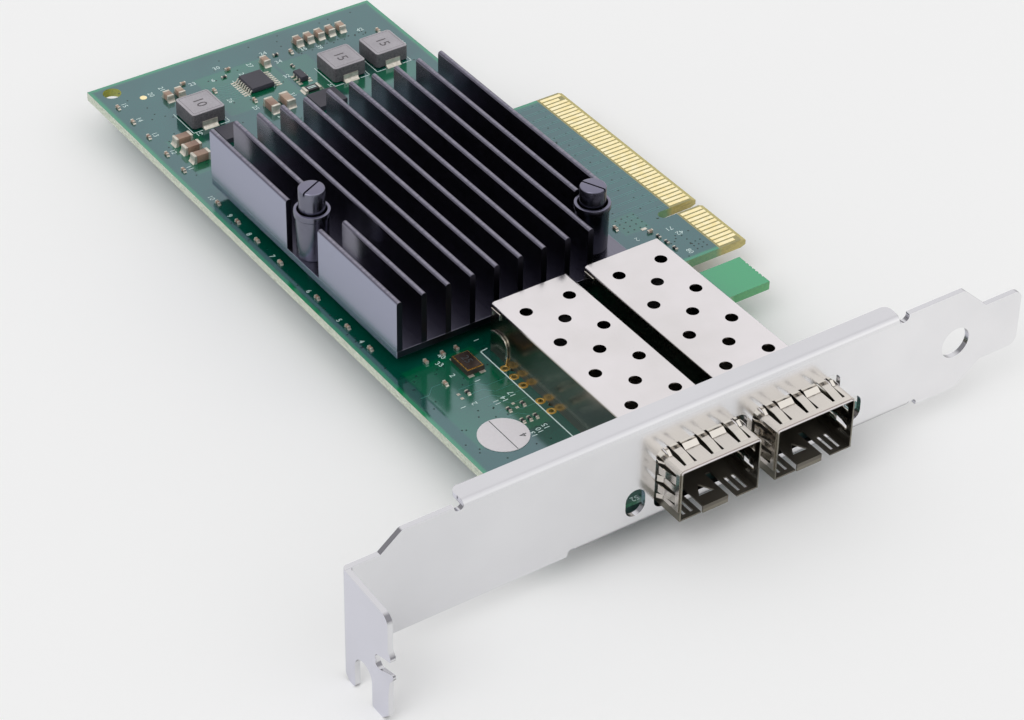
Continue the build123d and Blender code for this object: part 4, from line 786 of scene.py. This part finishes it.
def dress_inductors():
    """Inductor blocks with a number on top, and the solder at their terminals."""
    marks, feet, top = Shape(), Shape(), BOARD_TOP + 3.0
    toe = [(3.36, 0.0), (3.95, 0.0), (3.8, 0.08), (3.5, 0.2), (3.36, 0.5)]
    for (name, (x, y)), number in zip(INDUCTORS.items(), ("10", "15", "15")):
        inductor_block(x, y, top).piece(f"{name}_inductor_block", "inductor_composite",
                                        (f"{name}_inductor_body",), smooth=25)
        marks.number(number, x - 0.9, y + 1.35, top, -90, 2.7, FILM)
        for s in (-1, 1):
            feet.prism([(x - 1.4, y + s * a, BOARD_TOP + z) for a, z in toe], (2.8, 0, 0))
    marks.piece("inductor_marks", "inductor_composite", finish=MARK_INK)
    feet.piece("inductor_solder", "tin", smooth=50)


def chip_body(length, width, height, cap):
    """A chip part's body between its ends, on level zero, its length along y."""
    inset = 0.03
    return Shape().block(inset - width / 2, width / 2 - inset, cap - length / 2, length / 2 - cap, FILM,
                         height - inset)


def chip_ends(length, width, height, cap):
    """A chip part's two plated ends."""
    shape = Shape()
    for s in (-1, 1):
        inner, outer = sorted((s * (length / 2 - cap), s * length / 2))
        shape.block(-width / 2, width / 2, inner, outer, 0, height)
    return shape


def chip_solder(length, width, height):
    """Solder pads under both ends, each with a hollow fillet rising to the end."""
    reach, pad = min(0.34, 0.3 * width + 0.06), 0.04
    end, inner, toe = length / 2 - 0.02, length / 2 - reach, length / 2 + reach
    outline = [(inner, 0.0), (toe, 0.0), (toe, 0.02), (length / 2 + reach * 0.6, height * 0.08),
               (length / 2 + reach * 0.25, height * 0.2), (end, height * 0.45), (end, pad), (inner, pad)]
    shape = Shape()
    for s in (-1, 1):
        shape.prism([(-width * 0.52, s * a, z) for a, z in outline], (width * 1.04, 0, 0))
    return shape


def set_chips(name, size, places, slot, body=(), ends=()):
    """Chip parts of one size: their bodies and their bright ends, with eased edges."""
    edge = 0.07 if size[2] > 1 else 0.03
    repeat(f"{name}_blocks", chip_body(*size), places, slot, body, edge=edge)
    repeat(f"{name}_caps", chip_ends(*size), places, "tin", ends, edge=edge)


def dress_chip_parts():
    """Chip capacitors and resistors in place of the plain ones, with their solder."""
    large = [(41.95, 113.9 + 3.05 * i, 90) for i in range(3)] + [(59.9, 120.9, 0), (62.9, 120.9, 0)]
    medium = [(74.35 + 2.2 * i, 136.5, 0) for i in range(5)]
    medium += [(46.5, 133.1, 0), (48.75, 133.1, 0), (66.1, 133.8, 0)]
    small = [(37.85, y, 0) for y in EDGE_ROW]
    small += [(42.75, 40.55, 0), (54.3, 130.9, 0), (71.9, 134.7, 0), (58.6, 124.6, 0), (88.5, 132.5, 0),
              (88.3, 59.8, 0)]
    tiny = [(44.4, 36.9, 0), (47.3, 30.05, 0), (49.9, 30.1, 0), (49.85, 26.6, 0), (48.7, 26.6, 0),
            (47.55, 26.7, 0)]
    for name, size, places, body, slot in (
            ("large_capacitor", LARGE_CHIP, large, "bodies", "capacitor_ceramic"),
            ("medium_capacitor", MEDIUM_CHIP, medium, "bodies", "capacitor_ceramic"),
            ("small_capacitor", SMALL_CHIP, small, "bodies", "capacitor_ceramic"),
            ("sense_resistor", SENSE_CHIP, [(68.7, 122.4, 90)], "body", "resistor_ceramic"),
            ("small_resistor", RESISTOR_CHIP, tiny, "bodies", "resistor_ceramic")):
        set_chips(name, size, places, slot, (f"{name}_{body}",), (f"{name}_ends",))
        repeat(f"{name}_solder", chip_solder(*size[:3]), places, "tin")
    face = BOARD_TOP + SENSE_CHIP[2]
    bars = Shape()
    for y in (122.1, 122.5):
        bars.block(67.9, 69.5, y, y + 0.2, face, face + 0.015)
    bars.piece("sense_resistor_mark", "resistor_ceramic", finish=SILK)


def dress_screws():
    """Pan-head screws with a cross recess."""
    heads, recesses = Shape(), Shape()
    profile = [(0, -0.7), (1.2, -0.7), (1.45, -0.45), (1.45, BOARD_TOP), (2.7, BOARD_TOP),
               (2.75, BOARD_TOP + 0.15), (2.72, BOARD_TOP + 0.8), (2.55, BOARD_TOP + 1.25),
               (2.1, BOARD_TOP + 1.58), (1.4, BOARD_TOP + 1.69), (0, BOARD_TOP + 1.7)]
    arm, half = 1.4, 0.3
    for x, y in SCREW_PLACES:
        heads.turned(x, y, profile, 56)
        cross = [(x + a * u - b * v, y + a * v + b * u) for u, v in ((1, 0), (0, -1), (-1, 0), (0, 1))
                 for a, b in ((half, arm), (half, half), (arm, half))]
        recesses.plate(cross, BOARD_TOP + 0.7, BOARD_TOP + 2.2)
    heads.piece("pan_head_screws", "screw_steel", ("bracket_screws",), smooth=30,
                cutters=(recesses.thing("cross_recess"),))


def dress_plated_holes():
    """Domed gold rings at both ends of each plated hole."""
    rings = Shape()
    dome = ((0.42, 0), (0.78, 0), (0.78, 0.02), (0.62, 0.06), (0.48, 0.05), (0.42, 0.02))
    for y in (38.9, 36.4, 33.9, 29.3, 26.4):
        for base, up in ((BOARD_TOP, 1), (BOARD_LOW, -1)):
            rings.turned(52.55, y, [(radius, base + up * rise) for radius, rise in dome], 32)
    rings.piece("plated_rings", "gold", finish=WARM_GOLD, smooth=50)


def print_silkscreen():
    """Silkscreen outlines and plain numbers beside the parts, and the marks on the label."""
    silk, fine = Shape(), 0.15
    for x, y in INDUCTORS.values():
        silk.stroke([(x - 3.5, y + 3.2), (x - 3.5, y - 3.75), (x - 1.7, y - 3.75)], fine, FILM)
        silk.stroke([(x + 1.7, y - 3.75), (x + 3.5, y - 3.75), (x + 3.5, y - 2.2)], fine, FILM)
    silk.stroke([(53.1, 44.6), (51.75, 44.4), (51.75, 12.0)], 0.2, FILM)
    silk.stroke([(58.6, 126.2), (58.6, 132.2)], 0.14, FILM)
    numbers = [(23, 51.6, 134.6, 0), (20, 44.2, 136.6, -90), (21, 46.6, 137.2, -90), (6, 55.5, 133.7, 0),
               (19, 44.9, 120.3, 0), (30, 57.6, 136.8, 0), (29, 60.6, 133.6, -90), (27, 63.2, 135.6, -90),
               (24, 66.9, 136.6, 0), (34, 67.8, 132.8, 0), (35, 73.6, 134.0, 0), (32, 66.6, 128.0, 0),
               (37, 71.8, 122.4, -90), (26, 54.7, 127.6, -90), (25, 57.2, 123.3, -90), (31, 64.7, 123.4, -90),
               (28, 59.4, 118.4, -90), (36, 88.6, 130.4, -90), (38, 89.6, 127.6, -90), (39, 76.6, 134.2, -90),
               (42, 85.4, 134.2, 0), (40, 45.4, 47.2, -70), (33, 44.1, 45.7, -70), (1, 52.4, 47.6, -90),
               (2, 44.4, 42.1, -90), (1, 47.8, 38.3, 90), (1, 42.4, 34.0, 90), (2, 44.3, 33.9, 90),
               (17, 50.3, 32.4, 90), (14, 48.7, 32.0, 90), (11, 47.3, 31.9, 90), (13, 47.6, 22.6, 90),
               (10, 48.9, 22.9, 90), (15, 50.2, 23.2, 90), (2, 89.9, 56.0, 180), (42, 97.2, 53.8, 180),
               (71, 96.4, 55.6, 180), (52, 51.7, 3.4, 180), (53, 91.6, 3.4, 180), (80, 94.4, 49.0, -90)]
    for i, y in enumerate(EDGE_ROW):
        beside_sink = y < SINK_NEAR + SINK_LENGTH
        numbers.append((15 - i, 37.3, y + 2.7, -90) if beside_sink else (15 - i, 38.75, y + 0.9, -90))
    for value, x, y, turn in numbers:
        silk.number(str(value), x, y, BOARD_TOP, turn, 1.35, FILM)
    silk.piece("silkscreen", "board_laminate", finish=SILK)
    paper, ink = BOARD_TOP + 0.1, 0.012
    label = Shape().block(43.17, 43.3, 21.6, 29.4, paper, paper + ink)
    label.number("4", 46.3, 23.4, paper, 90, 1.7, ink).piece("label_marks", "label_paper", finish=INK)


def place_vias():
    """Tented vias: the row beside the contacts, two fields and loose ones round the regulators."""
    vias = [(97.7, 61.2 + 2.01 * i) for i in range(19)]
    vias += [(95.2 + 0.9 * (i % 2), 62.4 + 3.1 * i) for i in range(11)]
    vias += [(89.6 + 1.2 * i, 58.0 + 1.2 * j) for i in range(4) for j in range(4)]
    vias += [(96.3 + 0.95 * i, 48.2 + 0.95 * j) for i in range(3) for j in range(3)]
    vias += [(73.3 + 1.1 * i, 133.4 + 0.5 * (i % 2)) for i in range(13)]
    for x0, x1, y0, y1, count in ((39, 91, 104.8, 141, 110), (85.5, 95, 63, 98, 26), (37, 51, 17, 46, 42),
                                  (36.8, 38.2, 48, 104, 26), (93.5, 103, 47, 59, 14)):
        vias += [(random.uniform(x0, x1), random.uniform(y0, y1)) for _ in range(count)]
    dot = Shape().turned(0, 0, [(0, 0), (0.16, 0), (0.16, 0.008), (0.09, 0.014), (0, 0.004)], 10)
    repeat("tented_vias", dot, [(x, y, 0) for x, y in vias], "board_laminate", finish=TENTED_VIA)


def lay_traces():
    """Masked traces that stand a little proud: pairs from the card edge, and short runs among the chips."""
    traces, wide, height = Shape(), 0.14, 0.012
    for i in range(19):
        y = 60.8 + 2.01 * i
        start = 84.0 + (1.3 * i) % 3.7
        for shift in (0.0, 0.42):
            traces.stroke([(99.3, y + shift), (start + 3.0, y + shift), (start, y + shift)], 0.13, height)
    for i in range(6):
        y = 27.4 + 1.9 * i
        traces.stroke([(51.9, y), (49.4 - 0.3 * i, y), (48.0 - 0.3 * i, y + 1.4), (46.2 - 0.5 * i, y + 1.4)],
                      wide, height)
    for i in range(8):
        y = 126.9 + 0.65 * i
        traces.stroke([(58.0, y), (56.2, y), (55.0 - 0.2 * i, y + 1.2), (53.2, y + 1.2)], wide, height)
    traces.stroke([(42.2, 41.0), (40.6, 41.0), (39.2, 39.6), (37.4, 39.6)], wide, height)
    traces.piece("masked_traces", "board_laminate", finish=MASKED_TRACE)


def add_pads_and_extras():
    """Open pads, the fiducial and the smallest chips, which the frame doesn't hold."""
    pads = Shape()
    for x, y, half_x, half_y in (
            (43.0, 37.3, 0.25, 0.25), (42.95, 36.2, 0.25, 0.25), (48.7, 31.0, 0.25, 0.22),
            (48.7, 29.9, 0.25, 0.22), (47.15, 40.15, 0.5, 0.35), (49.25, 40.15, 0.5, 0.35),
            (47.15, 45.15, 0.5, 0.3), (49.25, 45.15, 0.5, 0.3), (66.9, 117.9, 0.3, 0.9),
            (92.2, 57.3, 0.5, 0.3), (68.0, 125.0, 0.35, 0.3), (70.0, 125.0, 0.35, 0.3)):
        pads.pad(x, y, half_x, half_y, 0.05)
    for i in range(8):
        for s in (-1, 1):
            pads.pad(61.6 + s * 3.15, 129.1 + (i - 3.5) * 0.65, 0.62, 0.19, 0.025)
    pads.piece("open_pads", "tin")
    Shape().turned(43.08, 135.79, post(0.62, BOARD_TOP, BOARD_TOP + 0.03), 32).piece("fiducial", "gold")
    set_chips("extra_capacitor", SMALL_CHIP, [(43.2, 46.7, 0), (46.5, 47.0, 0), (49.0, 47.0, 0),
                                              (59.6, 135.6, 90), (92.5, 56.0, 90), (50.8, 135.8, 90)],
              "capacitor_ceramic")
    set_chips("extra_resistor", RESISTOR_CHIP, [(57.9, 133.9, 90), (69.1, 135.3, 90), (69.7, 130.5, 0),
                                                (92.9, 54.2, 0), (93.1, 52.2, 0), (93.2, 50.1, 0)],
              "resistor_ceramic")


def dress_crystal():
    """The gold seal round the crystal's lid, and a plain number on it."""
    x, y, level, proud = 48.2, 42.65, BOARD_TOP + 0.85, 0.06
    half_x, half_y, width = 1.27, 2.02, 0.15
    seal = Shape()
    for s in (-1, 1):
        low, high = sorted((x + s * half_x, x + s * (half_x + width)))
        seal.block(low, high, y - half_y - width, y + half_y + width, level, level + proud)
        low, high = sorted((y + s * half_y, y + s * (half_y + width)))
        seal.block(x - half_x, x + half_x, low, high, level, level + proud)
    seal.piece("crystal_seal", "gold", finish=WARM_GOLD)
    mark = Shape().number("25", x - 0.6, y + 1.2, level + 0.15, -90, 1.9, 0.012)
    mark.piece("crystal_mark", "lid_metal", finish=INK)


def add_cage_locks():
    """The bent spring hook on the left cage's wall, and folded locks at the cages' far corners."""
    hooks = Shape()
    left_wall, right_wall = (centre - CAGE_WALL for centre in CAGE_CENTRES.values())
    path = [(43.7, 6.3), (42.6, 6.9), (41.0, 7.1), (39.9, 6.7), (39.3, 5.8), (39.2, 4.6), (39.5, 2.5)]
    outline, half, strip = [], 0.22, 0.3
    for points in (path, path[::-1]):
        for i, (y, z) in enumerate(points):
            before, after = points[max(i - 1, 0)], points[min(i + 1, len(points) - 1)]
            along = Vector((after[0] - before[0], after[1] - before[1])).normalized()
            outline.append((y + along.y * half, z - along.x * half))
    hooks.prism([(left_wall - strip, y, z) for y, z in outline], (strip, 0, 0))
    for wall in (left_wall, right_wall):
        for y, z, length, height in ((41.3, 10.55, 2.4, 0.28), (43.2, 9.7, 0.45, 1.1), (41.3, 9.7, 0.4, 0.9)):
            hooks.block(wall - 0.16, wall + 0.04, y, y + length, z, z + height)
    hooks.piece("cage_locks", "cage_steel", finish=FINISHES["spring_steel"], edge=0.05)


def coat_nodes():
    """The frame's own nodes take their finishes by the record's slots."""
    slots = {part["node"]: part["material_slot"] for part in frame["record"]["subparts"]}
    for name, node in frame["nodes"].items():
        node.data.materials.clear()
        node.data.materials.append(FINISHES[slots[name]].material)


# Floor, light and camera

def lay_floor():
    """A wide, pale, dull floor."""
    data = bpy.data.meshes.new("floor")
    reach = 3.0
    data.from_pydata([(-reach, -reach, 0), (reach, -reach, 0), (reach, reach, 0), (-reach, reach, 0)], [],
                     [(0, 1, 2, 3)])
    floor = bpy.data.objects.new("floor", data)
    bpy.context.scene.collection.objects.link(floor)
    f = Finish("pale_floor", roughness=0.9, Specular_IOR_Level=0.1)
    f.use(Base_Color=f.blend(f.noise(6, 2), (0.93, 0.93, 0.93, 1), (0.95, 0.95, 0.95, 1)))
    data.materials.append(f.material)


def light_room():
    """A white room, a little dimmer as light than it looks, with two wide, soft suns."""
    world = bpy.data.worlds.new("studio")
    bpy.context.scene.world = world
    world.use_nodes = True
    nodes, links = world.node_tree.nodes, world.node_tree.links
    nodes.clear()
    rays = nodes.new("ShaderNodeLightPath")
    either, seen = nodes.new("ShaderNodeMath"), nodes.new("ShaderNodeMath")
    either.operation = seen.operation = "ADD"
    seen.use_clamp = True
    links.new(rays.outputs["Is Camera Ray"], either.inputs[0])
    links.new(rays.outputs["Is Glossy Ray"], either.inputs[1])
    links.new(either.outputs[0], seen.inputs[0])
    links.new(rays.outputs["Is Transmission Ray"], seen.inputs[1])
    strength = nodes.new("ShaderNodeMapRange")
    strength.inputs["To Min"].default_value = 0.72
    strength.inputs["To Max"].default_value = 1.0
    links.new(seen.outputs[0], strength.inputs["Value"])
    sky = nodes.new("ShaderNodeBackground")
    sky.inputs["Color"].default_value = (1, 1, 1, 1)
    links.new(strength.outputs["Result"], sky.inputs["Strength"])
    out = nodes.new("ShaderNodeOutputWorld")
    links.new(sky.outputs[0], out.inputs["Surface"])
    for name, place, energy, spread in (("key", (-0.9, -0.3, 1.1), 0.7, 40.0),
                                        ("fill", (0.5, -0.8, 0.9), 0.2, 60.0)):
        lamp = bpy.data.lights.new(name, "SUN")
        lamp.energy = energy
        lamp.angle = math.radians(spread)
        thing = bpy.data.objects.new(name, lamp)
        thing.rotation_euler = Vector(place).to_track_quat("Z", "Y").to_euler()
        bpy.context.scene.collection.objects.link(thing)


def place_camera():
    """The photo's camera, in the card's own frame."""
    place = Vector((-163.6, -274.274, 295.677))
    right = Vector((0.8277, -0.5609, 0.0148))
    down = Vector((-0.3315, -0.5102, -0.7936))
    ahead = Vector((0.4527, 0.6520, -0.6083))
    data = bpy.data.cameras.new("camera")
    data.sensor_width = 36.0
    data.lens = 110.44
    data.clip_start = 0.01
    data.clip_end = 20.0
    camera = bpy.data.objects.new("camera", data)
    turn = Matrix((right, -down, -ahead)).transposed().to_4x4()
    camera.matrix_world = Matrix.Translation((place - CARD_ORIGIN) * MM) @ turn
    bpy.context.scene.collection.objects.link(camera)
    bpy.context.scene.camera = camera
    bpy.context.scene.view_settings.view_transform = "Standard"


place_camera()
light_room()
lay_floor()
coat_nodes()
dress_heat_sink()
dress_push_pins()
dress_sheet_parts()
dress_inductors()
dress_chip_parts()
dress_screws()
dress_plated_holes()
dress_crystal()
add_cage_locks()
print_silkscreen()
place_vias()
lay_traces()
add_pads_and_extras()
